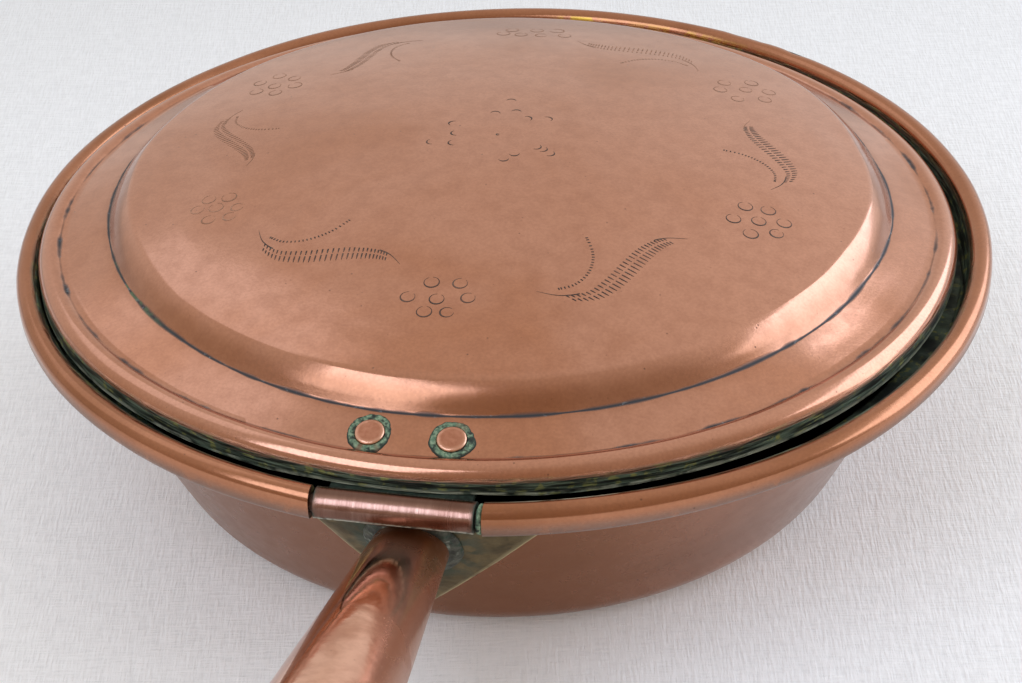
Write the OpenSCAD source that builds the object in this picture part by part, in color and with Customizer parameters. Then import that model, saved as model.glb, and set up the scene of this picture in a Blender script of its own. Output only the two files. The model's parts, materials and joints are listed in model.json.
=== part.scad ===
// Bed warming pan: a round copper pan with a wired rim, a domed lid that hinges on the rim
// wire, and a conical socket that carries a long turned handle with a hanging ring.
// Millimetres, +Z up. The origin is the centre of the flat base. The handle runs out along -Y
// and the hinge line lies along X.

/* [Pan] */
// Radius of the pan at the outside of its rolled rim
rim_r = 145; // [135:1:155]
// Height of the rim wire's centre above the base
rim_z = 69.3; // [55:0.1:85]
// Radius of the base where the wall would meet it without the rounded corner
base_r = 103; // [92:1:112]
// Radius of the rounded corner between base and wall, outside
base_round = 17; // [6:1:22]
// Thickness of the pan's sheet
pan_t = 1.5; // [1:0.1:2]
// Distance from the rim's outside in to the top of the wall, below the lid's seat
rebate_w = 13.8; // [12.5:0.1:16]
// Depth of the seat below the rim wire's centre, to the seat's underside
rebate_h = 8.3; // [7.6:0.1:10]

/* [Rolled rim] */
// Width of the rolled rim
bead_w = 6.8; // [6.6:0.1:8]
// Height of the rolled rim
bead_h = 9.2; // [8.8:0.1:10]
// Diameter of the iron rim wire
wire_d = 5; // [4:0.1:5]
// Clearance round the wire inside the rolled rim
wire_gap = 0.1; // [0.05:0.05:0.2]
// How much thinner the knuckle has worn the wire across the gap
pin_wear = 0.2; // [0.2:0.05:0.4]

/* [Lid] */
// Clearance between the rolled rim's inner face and the lid's edge
lid_gap = 2.3; // [2.2:0.1:4]
// Thickness of the lid's sheet
lid_t = 1.3; // [0.8:0.1:1.6]
// Sideways place of the lid on the pan
lid_shift_x = -1.5; // [-1.6:0.1:1.6]
// Place of the lid away from the hinge
lid_shift_y = 1.3; // [0.5:0.1:1.4]
// Height of the skirt below the round of the lid's edge
skirt_h = 3.2; // [3:0.1:6]
// Radius of the round of the lid's edge
edge_round = 4.2; // [3.6:0.1:5]
// Width of the raised edge, from the skirt to the crease
edge_w = 6.5; // [5.4:0.1:7]
// Width of the sloping flange
flange_w = 13; // [12:0.5:18]
// Rise of the flange from the crease to the foot of the dome
flange_rise = 4.6; // [3:0.1:6]
// Width of the dome's bevelled side
bevel_w = 6.4; // [4:0.1:12]
// Rise of the dome's bevelled side
bevel_rise = 7.3; // [5:0.1:12]
// Rise of the crown above the dome's shoulder
crown_rise = 13.5; // [6:0.5:20]
// Radius that rounds the dome's shoulder
shoulder_round = 5; // [2:0.5:8]

/* [Hinge] */
// Half the width of the gap in the rolled rim
hinge_half = 22.5; // [20:0.5:30]
// Length of the knuckle
knuckle_l = 41.7; // [36:0.1:42]
// Sideways place of the knuckle in its gap
knuckle_shift = -0.35; // [-0.5:0.05:0.5]
// Thickness of the hinge strap
strap_t = 1.8; // [1.2:0.1:1.9]
// Radial clearance of the knuckle on the wire
hinge_gap = 0.06; // [0.02:0.01:0.1]
// Width of the strap's leaf under the lid
leaf_w = 37.6; // [34:0.1:38]
// Height of the lid's skirt above the hinge axis, before the lid sinks at the back
hinge_lift = 2.4; // [2.2:0.1:3]
// Distance between the two lid rivets
rivet_pitch = 21.6; // [16:0.1:26]
// Place of the rivets across the flange, as a share of its width out from the dome's foot
rivet_place = 0.6; // [0.5:0.05:0.7]
// Diameter of the rivet heads
rivet_head_d = 8; // [6:0.1:9]
// Diameter of the rivet shanks
rivet_d = 4.4; // [3:0.1:5]
// Thickness of the rivet heads
rivet_head_t = 0.9; // [0.5:0.1:1.4]

/* [Back plate and socket] */
// Thickness of the brass back plate
plate_t = 1.2; // [0.8:0.1:2]
// Half the width of the back plate along its top
plate_half = 34; // [28:0.5:40]
// Sideways place of the back plate's top edge
plate_shift = 4; // [-5:0.5:5]
// Sideways place of the back plate's lower point
plate_point = -2; // [-6:0.5:6]
// Height of the back plate's lower point
plate_low = 13; // [11:0.5:20]
// Height of the back plate's top edge
plate_top = 59; // [56:0.5:60]
// Height of the socket's axis where it meets the back plate
socket_z = 47.3; // [40:0.1:49]
// Rise of the socket and handle above level, in degrees
handle_rise = 11.5; // [5:0.5:16]
// Radius of the socket at the pan
socket_root_r = 9.9; // [8:0.1:12]
// Radius of the socket at its mouth
socket_mouth_r = 19.2; // [17:0.1:22]
// Length of the socket
socket_l = 150; // [120:1:180]
// Thickness of the socket's sheet
socket_t = 1.2; // [0.8:0.1:1.8]
// Radius of the rolled edge round the socket's mouth
mouth_bead = 1.8; // [1.5:0.1:2.5]
// Width of the solder round the socket's root
solder_w = 3.4; // [2:0.1:5]
// Thickness of the solder round the socket's root
solder_t = 1.6; // [1:0.1:2.5]

/* [Handle] */
// Length of the wooden handle outside the socket
handle_l = 556; // [450:1:620]
// Radius of the collar next to the socket
collar_r = 20; // [19:0.1:23]
// Radius of the handle behind the collar
grip_root_r = 14.5; // [12:0.1:17]
// Radius of the handle at its thinnest
grip_waist_r = 11; // [9:0.1:13]
// Radius of the swelling near the end
grip_swell_r = 14; // [12:0.1:16]
// Radius of the knob at the end
knob_r = 15; // [13:0.1:18]
// Length of the wood inside the socket
tenon_l = 88; // [60:1:110]
// Clearance between the wood and the socket
tenon_gap = 0.3; // [0.1:0.05:0.5]
// Diameter of the nails that hold the wood
nail_d = 2.6; // [2:0.1:3.2]
// Length of the nails
nail_l = 13; // [10:0.5:15]

/* [Hanging ring] */
// Thickness of the eye's wire
eye_wire_d = 3.6; // [3:0.1:4]
// Inner radius of the eye
eye_r = 4.5; // [4.2:0.1:6]
// Length of the eye's screw in the wood
eye_screw_l = 24; // [16:1:30]
// Thickness of the ring's wire
ring_wire_d = 3.6; // [3:0.1:4]
// Radius of the hanging ring at the middle of its wire
ring_r = 15; // [13:0.5:20]

/* [Hidden] */
$fn = 96;

arc_step = 6;              // largest turn between two points of a rounded corner, in degrees
contact_gap = 0.05;        // between two sheets that are riveted or soldered together
seat_gap = 0.3;            // between pieces that rest on each other
hole_gap = 0.05;           // radial clearance of rivets, nails and screws in their holes
past = 1;                  // how far a cutting shape runs past the surface it cuts
root_back = 30;            // length of the socket's cone behind the plate, before the wall cuts it
knuckle_clear = 0.8;       // from the knuckle to the rolled rim's cut edge behind it
nail_head_r = 3.6;
nail_head_t = 1.6;
nail_lift = 0.25;          // from the socket to the underside of a nail's head
tail_l = 1.5;              // height of a rivet's tail behind the strap

// Rim and hinge line
wire_r = rim_r - bead_w / 2;
hinge_y = -sqrt(pow(wire_r, 2) - pow(hinge_half, 2));
pin_d = wire_d - pin_wear;
knuckle_r = pin_d / 2 + hinge_gap + strap_t;

// Pan: the outer surface from the centre of the base to the underside of the rolled rim
seat_z = rim_z - rebate_h;
wall_top_r = rim_r - rebate_w;
wall_slope = (wall_top_r - base_r) / seat_z;
wall_angle = atan(wall_slope);
flare_end = [wire_r - 0.6, rim_z - bead_h / 2 + 0.7];
flare_r = flare_end[0] - (flare_end[1] - seat_z);
pan_path = rounded([[0, 0], [base_r, 0], [wall_top_r, seat_z], [flare_r, seat_z], flare_end],
    [0, base_round, pan_t, 0, 0]);

// Lid, in its own frame: the axis through its crown, and z = 0 at the skirt's lower edge
lid_r = rim_r - bead_w - lid_gap;
crease = [lid_r - edge_w, skirt_h + sqrt(pow(edge_round, 2) - pow(edge_w - edge_round, 2))];
foot = crease + [-flange_w, flange_rise];
shoulder = foot + [-bevel_w, bevel_rise];
edge_turn = acos((edge_round - edge_w) / edge_round);
flange_angle = atan(flange_rise / flange_w);
crown_steps = 10;
lid_path = concat(
    rounded(concat([for (i = [0 : crown_steps - 1]) crown_point(i / crown_steps)],
        [shoulder, foot, crease]),
        concat([for (i = [1 : crown_steps]) 0], [shoulder_round, 1.6, 0])),
    [for (a = [edge_turn - arc_step : -arc_step : arc_step / 2])
        [lid_r - edge_round + edge_round * cos(a), skirt_h + edge_round * sin(a)]],
    [[lid_r, skirt_h], [lid_r, 0]]);

// The lid sinks at the back until its edge is the seat's gap above the flare below the rim
lid_tilt = min([for (a = [0 : 5 : 355]) asin((rim_z + hinge_lift - seat_gap
    - flare_top(norm([lid_shift_x, lid_shift_y] + lid_r * [sin(a), -cos(a)])))
    / max(lid_shift_y - lid_r * cos(a) - hinge_y, lid_r / 4))]);

// Rivets, on the flange
rivet_r = foot[0] + flange_w * rivet_place;
rivet_z = crease[1] + (crease[0] - rivet_r) * flange_rise / flange_w;
rivet_grip = lid_t + contact_gap + strap_t;

// The strap's leaf: its upper surface from the hinge line, under the skirt, up behind it and along
// the flange
tongue_top = -seat_gap;
leaf_drop = lid_t + contact_gap;
leaf_path = [[rim_r, tongue_top], [lid_r - 3.2, tongue_top],
    crease + leaf_drop * [-sin(flange_angle), -cos(flange_angle)] / cos(flange_angle)
        + 0.8 * [-cos(flange_angle), sin(flange_angle)],
    foot + leaf_drop * [-sin(flange_angle), -cos(flange_angle)] + [1, -tan(flange_angle)]];

// Socket and handle, along the socket's own axis from the back plate's outer surface
root_y = -(wall_r(socket_z) + (plate_t + 2 * contact_gap) / cos(wall_angle));
socket_slope = (socket_mouth_r - socket_root_r) / socket_l;
handle_start = socket_l + mouth_bead + seat_gap;
handle_end = handle_start + handle_l;
nail_s = socket_l - 14;

// Hanging ring: it hangs in the bottom of the eye
eye_mid_r = eye_r + eye_wire_d / 2;
eye_s = handle_end + eye_mid_r + eye_wire_d / 2;
eye_y = root_y - eye_s * cos(handle_rise);
eye_z = socket_z + eye_s * sin(handle_rise);
ring_pivot_z = eye_z - (eye_r - ring_wire_d / 2 - seat_gap);

// ---- Paths -------------------------------------------------------------------------------

function unit(v) = v / norm(v);
function left_of(v) = [-v[1], v[0]];
function turned(v, a) = [v[0] * cos(a) - v[1] * sin(a), v[0] * sin(a) + v[1] * cos(a)];

// The corner b between a and c, as points on an arc of radius r
function round_corner(a, b, c, r) =
    let (u = unit(b - a), v = unit(c - b),
        turn = atan2(u[0] * v[1] - u[1] * v[0], u * v),
        start = b - u * r * tan(abs(turn) / 2),
        centre = start + sign(turn) * r * left_of(u),
        steps = ceil(abs(turn) / arc_step))
    r == 0 ? [b] : [for (i = [0 : steps]) centre + turned(start - centre, turn * i / steps)];

// A path with each inner corner rounded to its radius
function rounded(path, radii) = [for (i = [0 : len(path) - 1])
    each i == 0 || i == len(path) - 1 ? [path[i]]
        : round_corner(path[i - 1], path[i], path[i + 1], radii[i])];

// Point i of a path moved t to the path's left; a point on the axis stays on it
function moved(path, i, t) =
    let (before = left_of(unit(path[max(i, 1)] - path[max(i, 1) - 1])),
        after = left_of(unit(path[min(i, len(path) - 2) + 1] - path[min(i, len(path) - 2)])),
        middle = unit(before + after))
    path[i][0] == 0 ? [0, path[i][1] + t] : path[i] + middle * t / (middle * before);

// The outline of a sheet of thickness t that lies to the left of a path
function sheet(path, t) = concat(path, [for (i = [len(path) - 1 : -1 : 0]) moved(path, i, t)]);

// Radius of the pan's outer wall at height z
function wall_r(z) = base_r + wall_slope * z;

// Height of the seat's or the flare's upper surface at radius r
function flare_top(r) = seat_z + max(pan_t, r - flare_r + pan_t * sqrt(2));

// Point of the lid's crown at a share of the shoulder's radius
function crown_point(share) = [shoulder[0] * share, shoulder[1] + crown_rise * (1 - pow(share, 2))];

// Radius of the socket at distance s along it
function socket_r(s) = socket_root_r + socket_slope * s;

// Radius of the wood inside the socket at distance s along it
function tenon_r(s) = socket_r(s) - socket_t - tenon_gap;

// ---- Places ------------------------------------------------------------------------------

module at_hinge() translate([0, hinge_y, rim_z]) rotate([-lid_tilt, 0, 0]) children();

module at_lid() at_hinge() translate([lid_shift_x, lid_shift_y - hinge_y, hinge_lift]) children();

// Each rivet's place: z = 0 on the flange's upper surface, +Z square to it
module at_rivets() {
    for (side = [-1, 1])
        rotate([0, 0, asin((side * rivet_pitch / 2 - lid_shift_x) / rivet_r)])
            translate([0, -rivet_r, rivet_z]) rotate([flange_angle, 0, 0]) children();
}

module at_socket() translate([0, root_y, socket_z]) rotate([90 - handle_rise, 0, 0]) children();

// Each nail's place: z = 0 on the socket, +Z outwards
module at_nails() {
    for (side = [-1, 1])
        translate([side * socket_r(nail_s), 0, nail_s]) rotate([0, side * 90, 0]) children();
}

// The solid cone inside a surface that lies a distance off the pan's outer wall
module wall_cone(off) {
    side = off / cos(wall_angle);
    rotate_extrude() polygon([[0, -past], [wall_r(-past) + side, -past],
        [wall_r(seat_z) + side, seat_z], [0, seat_z]]);
}

// ---- Pan body ----------------------------------------------------------------------------

// Raised copper pan: dished base, flared wall, seat for the lid and rim rolled over the wire
module pan_bowl() color("#b5724f") {
    bead_shift = (bead_h - bead_w) / 2;
    knuckle_room = knuckle_r + knuckle_clear;
    difference() {
        rotate_extrude() difference() {
            union() {
                polygon(sheet(pan_path, pan_t));
                translate([wire_r, rim_z - bead_shift]) circle(d = bead_w);
                translate([wire_r, rim_z + bead_shift]) circle(d = bead_w);
                translate([wire_r - bead_w / 2, rim_z - bead_shift])
                    square([bead_w, 2 * bead_shift]);
            }
            translate([wire_r, rim_z]) circle(d = wire_d + 2 * wire_gap);
        }
        translate([-hinge_half, -rim_r - past, rim_z - knuckle_room])
            cube([2 * hinge_half, rim_r + past + hinge_y + knuckle_room, knuckle_room + bead_h]);
    }
}

// Iron wire inside the rolled rim, straight and worn thinner where it is the hinge's pin
module rim_wire() color("#55504c") {
    translate([0, 0, rim_z]) {
        difference() {
            rotate_extrude() translate([wire_r, 0]) circle(d = wire_d);
            translate([-hinge_half, -rim_r, -wire_d]) cube([2 * hinge_half, rim_r, 2 * wire_d]);
        }
        translate([-hinge_half - past / 2, hinge_y, 0]) rotate([0, 90, 0])
            cylinder(d = pin_d, h = 2 * hinge_half + past);
    }
}

// Brass plate on the wall behind the socket, a triangle with its point down
module back_plate() color("#7d6c3f") {
    intersection() {
        difference() {
            wall_cone(contact_gap + plate_t);
            wall_cone(contact_gap);
        }
        translate([0, -base_r / 2, 0]) rotate([90, 0, 0]) linear_extrude(rim_r)
            polygon([[-plate_half + plate_shift, plate_top], [plate_half + plate_shift, plate_top],
                [plate_point, plate_low]]);
    }
}

// Solder run round the root of the socket, on the back plate
module socket_solder() color("#a5a79c") {
    difference() {
        intersection() {
            at_socket() translate([0, 0, -root_back])
                cylinder(h = 2 * root_back, r = socket_root_r + solder_w);
            difference() {
                wall_cone(plate_t + 2 * contact_gap + solder_t);
                wall_cone(plate_t + 2 * contact_gap);
            }
        }
        at_socket() translate([0, 0, -root_back])
            cylinder(h = 2 * root_back, r1 = socket_r(-root_back) + contact_gap,
                r2 = socket_r(root_back) + contact_gap);
    }
}

// Conical copper socket with a rolled edge round its mouth
module handle_socket() color("#c98a6a") {
    difference() {
        at_socket() difference() {
            union() {
                translate([0, 0, -root_back])
                    cylinder(h = socket_l + root_back, r1 = socket_r(-root_back),
                        r2 = socket_r(socket_l));
                translate([0, 0, socket_l]) rotate_extrude()
                    translate([socket_mouth_r - mouth_bead / 2, 0]) circle(r = mouth_bead);
            }
            translate([0, 0, -root_back - past])
                cylinder(h = root_back + socket_l + mouth_bead + 2 * past,
                    r1 = socket_r(-root_back - past) - socket_t,
                    r2 = socket_r(socket_l + mouth_bead + past) - socket_t);
            at_nails() translate([0, 0, -2 * socket_t])
                cylinder(h = 4 * socket_t, d = nail_d + 2 * hole_gap);
        }
        wall_cone(plate_t + 2 * contact_gap);
    }
}

// Turned wooden handle: tenon, collar, long tapered grip and knob
module wooden_handle() color("#6e4527") {
    tenon_s = socket_l - tenon_l;
    tenon_end = socket_l - mouth_bead;
    outline = rounded([
        [0, tenon_s],
        [tenon_r(tenon_s), tenon_s],
        [tenon_r(tenon_end), tenon_end],
        [tenon_r(tenon_end), handle_start],
        [collar_r - 2, handle_start],
        [collar_r, handle_start + 4],
        [collar_r - 2, handle_start + 9],
        [grip_root_r, handle_start + 12],
        [grip_root_r, handle_start + 60],
        [grip_waist_r, handle_start + handle_l * 0.62],
        [grip_swell_r, handle_end - 90],
        [grip_waist_r, handle_end - 34],
        [grip_waist_r + 2.5, handle_end - 31],
        [grip_waist_r - 1.5, handle_end - 27],
        [knob_r, handle_end - 22],
        [knob_r, handle_end - 5],
        [6, handle_end],
        [0, handle_end]],
        [0, 2, 0, 0, 1, 3, 2, 3, 150, 600, 140, 0, 1.5, 2, 7, 7, 2, 0]);
    at_socket() difference() {
        rotate_extrude() polygon(outline);
        translate([0, 0, handle_end - eye_screw_l])
            cylinder(h = eye_screw_l + past, d = eye_wire_d + 2 * hole_gap);
        at_nails() translate([0, 0, -nail_l]) cylinder(h = nail_l + past, d = nail_d + 2 * hole_gap);
    }
}

// Two round-headed nails, from each side through the socket into the wood
module socket_nails() color("#8a6f3d") {
    at_socket() at_nails() {
        translate([0, 0, nail_lift - nail_l]) cylinder(h = nail_l, d = nail_d);
        translate([0, 0, nail_lift]) intersection() {
            translate([0, 0, nail_head_t - nail_head_r]) sphere(r = nail_head_r);
            cylinder(h = nail_head_r, r = nail_head_r);
        }
    }
}

// Iron screw eye in the end of the knob
module screw_eye() color("#4a4848") {
    at_socket() {
        translate([0, 0, handle_end - eye_screw_l + seat_gap])
            cylinder(h = eye_screw_l + eye_wire_d / 2, d = eye_wire_d);
        translate([0, 0, eye_s]) rotate([0, 90, 0]) rotate_extrude()
            translate([eye_mid_r, 0]) circle(d = eye_wire_d);
    }
}

// ---- Lid body ----------------------------------------------------------------------------

// Domed copper lid: crowned top, bevelled side, sloping flange, round edge and short skirt
module lid() color("#c4876a") {
    at_lid() difference() {
        rotate_extrude() polygon(sheet(lid_path, -lid_t));
        at_rivets() translate([0, 0, -2 * lid_t]) cylinder(h = 4 * lid_t, d = rivet_d + 2 * hole_gap);
    }
}

// Copper strap: a knuckle wrapped round the rim wire and a leaf that lies under the flange
module hinge_strap() color("#cfa593") {
    knuckle_x = knuckle_shift - knuckle_l / 2;
    bore = pin_d + 2 * hinge_gap;
    difference() {
        union() {
            at_hinge() translate([knuckle_x, 0, 0]) rotate([0, 90, 0])
                cylinder(h = knuckle_l, r = knuckle_r);
            at_lid() intersection() {
                rotate_extrude() polygon(sheet(leaf_path, strap_t));
                translate([-lid_shift_x - leaf_w / 2, hinge_y - lid_shift_y, -past])
                    cube([leaf_w, lid_r, bevel_rise + flange_rise + edge_round]);
            }
        }
        at_hinge() translate([knuckle_x - past, 0, 0]) rotate([0, 90, 0])
            cylinder(h = knuckle_l + 2 * past, d = bore);
        at_lid() at_rivets() translate([0, 0, -3 * rivet_grip])
            cylinder(h = 4 * rivet_grip, d = rivet_d + 2 * hole_gap);
    }
}

// Two copper rivets through the lid's flange and the strap's leaf
module lid_rivets() color("#b9765a") {
    shank_end = -rivet_grip - 2 * contact_gap;
    at_lid() at_rivets() {
        translate([0, 0, contact_gap]) cylinder(h = rivet_head_t, d = rivet_head_d);
        translate([0, 0, shank_end - tail_l / 2])
            cylinder(h = rivet_head_t - shank_end + tail_l / 2, d = rivet_d);
        translate([0, 0, shank_end - tail_l])
            cylinder(h = tail_l, r1 = rivet_d * 0.6, r2 = rivet_d * 0.8);
    }
}

// ---- Ring body ---------------------------------------------------------------------------

// Iron ring that hangs in the eye
module hanging_ring() color("#4f4c4b") {
    translate([0, eye_y, ring_pivot_z - ring_r]) rotate([90, 0, 0]) rotate_extrude()
        translate([ring_r, 0]) circle(d = ring_wire_d);
}

pan_bowl();
rim_wire();
back_plate();
socket_solder();
handle_socket();
wooden_handle();
socket_nails();
screw_eye();
lid();
hinge_strap();
lid_rivets();
hanging_ring();
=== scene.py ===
"""Copper bed warming pan: the surfaces, ornament, light and camera around its fixed frame.

Lengths are in millimetres until `mm` turns them to metres. The origin is the centre of the pan's
flat base, +Z is up, the handle runs out along -Y and the hinge line lies along X.
"""
import json
import math

import bmesh
import bpy
import numpy as np
from mathutils import Matrix, Vector, noise


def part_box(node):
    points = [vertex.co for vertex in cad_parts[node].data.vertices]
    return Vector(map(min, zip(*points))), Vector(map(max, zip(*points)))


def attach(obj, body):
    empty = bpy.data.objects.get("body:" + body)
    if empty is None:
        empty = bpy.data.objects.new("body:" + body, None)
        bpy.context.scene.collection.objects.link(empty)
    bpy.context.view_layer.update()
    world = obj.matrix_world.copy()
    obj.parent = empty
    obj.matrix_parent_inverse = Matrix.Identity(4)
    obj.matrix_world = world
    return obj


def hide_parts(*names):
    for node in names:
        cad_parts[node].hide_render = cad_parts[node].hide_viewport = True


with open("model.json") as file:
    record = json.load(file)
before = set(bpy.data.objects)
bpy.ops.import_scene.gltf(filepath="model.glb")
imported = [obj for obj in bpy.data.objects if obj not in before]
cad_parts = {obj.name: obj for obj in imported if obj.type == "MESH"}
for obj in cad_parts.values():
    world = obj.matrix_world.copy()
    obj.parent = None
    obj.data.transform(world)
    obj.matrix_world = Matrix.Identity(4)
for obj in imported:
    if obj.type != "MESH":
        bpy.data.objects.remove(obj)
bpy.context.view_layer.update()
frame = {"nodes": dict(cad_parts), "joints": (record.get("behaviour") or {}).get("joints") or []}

mm = 0.001
UP = Vector((0, 0, 1))

# ---- Sizes, from the frame ------------------------------------------------------------------

joints = {joint["name"]: joint for joint in frame["joints"]}
hinge = Vector(joints["lid_hinge"]["pos_m"]) / mm


def span(node):
    """A node's lowest and highest corners, in millimetres."""
    low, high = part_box(node)
    return low / mm, high / mm


_, pan_high = span("pan_bowl")
lid_low, lid_high = span("lid")
strap_low, strap_high = span("hinge_strap")
plate_low, plate_high = span("back_plate")

# The pan: its rolled rim, sheet, flat base, seat for the lid and the flared wall between them,
# then the gap in the rim where the strap's knuckle turns on the bare wire
RIM_R = pan_high.x
BEAD_W = 6.8
BEAD_H = 9.2
WIRE_R = RIM_R - BEAD_W / 2
PAN_T = 1.5
BASE_R = 103
BASE_ROUND = 17
WALL_TOP_R = RIM_R - 13.8
SEAT_Z = hinge.z - 8.3
FLARE_R = 136.6
WALL_SLOPE = (WALL_TOP_R - BASE_R) / SEAT_Z
GAP_HALF = 22.5
KNUCKLE_R = 4.26
KNUCKLE_CLEAR = 0.8
PIN_R = 2.4

# The lid, made about its own axis: crease, dome's foot and shoulder are (radius, height) above
# the skirt's lower edge. LID_REACH is the radius that the share "radius" calls 1.
LID_R = (lid_high.x - lid_low.x) / 2
LID_T = 1.3
LID_REACH = 200
LID_SHIFT = Vector(((lid_high.x + lid_low.x) / 2, 1.3, 0))
LID_LIFT = 2.4
LID_TILT = math.radians(1.542)
CREASE = (LID_R - 6.5, 6.71)
FOOT = (CREASE[0] - 13, CREASE[1] + 4.6)
SHOULDER = (FOOT[0] - 6.4, FOOT[1] + 7.3)
CROWN_RISE = 13.5
FLANGE_ANGLE = math.atan(4.6 / 13)
STRAP_HALF = 37.6 / 2
STRAP_T = 1.8
RIVET_R = FOOT[0] + 13 * 0.6
RIVET_HALF_PITCH = 10.8

# The brass plate behind the socket, and the socket, whose root stands off the wall by the plate
PLATE_T = 1.3
SOCKET_Z = 47.3
SOCKET_RISE = math.radians(11.5)
SOCKET_ROOT_R = 9.9
SOCKET_MOUTH_R = 19.2
SOCKET_L = 150
SOCKET_T = 1.2
MOUTH_BEAD = 1.8
ROOT_Y = -(BASE_R + WALL_SLOPE * SOCKET_Z + PLATE_T / math.cos(math.atan(WALL_SLOPE)))

lid_place = (
    Matrix.Translation(hinge)
    @ Matrix.Rotation(-LID_TILT, 4, "X")
    @ Matrix.Translation((LID_SHIFT.x, LID_SHIFT.y - hinge.y, LID_LIFT))
)
hinge_place = Matrix.Translation(hinge) @ Matrix.Rotation(-LID_TILT, 4, "X")
socket_place = Matrix.Translation((0, ROOT_Y, SOCKET_Z)) @ Matrix.Rotation(
    math.pi / 2 - SOCKET_RISE, 4, "X"
)


# ---- Nodes ----------------------------------------------------------------------------------


def linear(colour):
    """An sRGB hex colour as linear red, green, blue and alpha."""
    parts = [int(colour[i : i + 2], 16) / 255 for i in (1, 3, 5)]
    return [p / 12.92 if p <= 0.04045 else ((p + 0.055) / 1.055) ** 2.4 for p in parts] + [1]


def add(tree, kind, inputs=(), stops=(), **settings):
    """Adds a node to a tree with its settings, then its inputs, each by name or in turn. An input
    is a number, a vector, an sRGB hex colour, a socket, or a node, which stands for its first
    output in use. Sums are held between 0 and 1 unless a setting says otherwise. `stops` are the
    places and colours of a colour ramp."""
    node = tree.nodes.new("ShaderNode" + kind)
    if kind == "Math":
        node.use_clamp = True
    for name, value in settings.items():
        setattr(node, name, value)
    in_turn = [socket for socket in node.inputs if socket.enabled]
    for place, value in inputs.items() if isinstance(inputs, dict) else enumerate(inputs):
        socket = node.inputs[place] if isinstance(place, str) else in_turn[place]
        if isinstance(value, bpy.types.Node):
            value = next(output for output in value.outputs if output.enabled)
        if isinstance(value, bpy.types.NodeSocket):
            tree.links.new(value, socket)
        else:
            socket.default_value = linear(value) if isinstance(value, str) else value
    while stops and len(node.color_ramp.elements) < len(stops):
        node.color_ramp.elements.new(1)
    for i, (place, colour) in enumerate(stops):
        node.color_ramp.elements[i].position = place
        node.color_ramp.elements[i].color = linear(colour)
    return node


def new_material(name):
    """An empty material with its node tree, and the object's own coordinates, in metres."""
    material = bpy.data.materials.new(name)
    material.use_nodes = True
    tree = material.node_tree
    tree.nodes.clear()
    where = add(tree, "TexCoord").outputs["Object"]
    return material, tree, where


def clouds(tree, where, size, detail=3, low=0.35, high=0.65, distort=0.0):
    """Soft patches about `size` millimetres across, from 0 to 1, sharper as low nears high."""
    texture = add(
        tree,
        "TexNoise",
        {"Vector": where, "Scale": 1 / (size * mm), "Detail": detail, "Distortion": distort},
    )
    return add(
        tree,
        "MapRange",
        {"Value": texture, "From Min": low, "From Max": high},
        interpolation_type="SMOOTHSTEP",
    )


def streaks(tree, where, length, width, turn, low, high):
    """Lines along X of that length and width in millimetres, after the coordinates are turned."""
    lines = add(
        tree,
        "Mapping",
        {"Vector": where, "Rotation": turn, "Scale": Vector((length, width, width)) * mm},
        vector_type="TEXTURE",
    )
    texture = add(tree, "TexNoise", {"Vector": lines, "Scale": 1, "Detail": 2})
    return add(tree, "MapRange", {"Value": texture, "From Min": low, "From Max": high})


def specks(tree, where, spacing, size, share):
    """Round specks of that size and spacing in millimetres, in a share of the places."""
    cells = add(tree, "TexVoronoi", {"Vector": where, "Scale": 1 / (spacing * mm), "Randomness": 1})
    near = add(
        tree,
        "MapRange",
        {"Value": cells.outputs["Distance"], "From Min": size / spacing, "From Max": 0},
        interpolation_type="SMOOTHSTEP",
    )
    lot = add(tree, "SeparateColor", {"Color": cells.outputs["Color"]})
    return add(
        tree,
        "Math",
        (near, add(tree, "Math", (lot, share), operation="LESS_THAN")),
        operation="MULTIPLY",
    )


def layered(tree, colour, tints):
    """A colour under tints laid on in turn, each with the share it covers and its strength."""
    for share, strength, tint in tints:
        cover = add(tree, "Math", (share, strength), operation="MULTIPLY")
        colour = add(tree, "Mix", (cover, colour, tint), data_type="RGBA")
    return colour


def relief(tree, layers):
    """Bumps on bumps: each layer is a height from 0 to 1 and its real depth in millimetres."""
    normal = None
    for height, depth in layers:
        inputs = {"Height": height, "Distance": depth * mm, "Strength": 1}
        if normal:
            inputs["Normal"] = normal
        normal = add(tree, "Bump", inputs)
    return normal


# ---- Materials ------------------------------------------------------------------------------


def near_circle(tree, place, width):
    """1 on a circle about the lid's axis, falling to 0 at a width on either side of it."""
    radius = add(tree, "Attribute", attribute_name="radius").outputs["Fac"]
    gap = add(tree, "Math", (radius, place / LID_REACH), operation="SUBTRACT", use_clamp=False)
    gap = add(tree, "Math", (gap,), operation="ABSOLUTE")
    gap = add(tree, "Math", (gap, width), operation="DIVIDE")
    square = add(tree, "Math", (gap, 2), operation="POWER")
    return add(tree, "Math", (1, square), operation="SUBTRACT")


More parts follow.
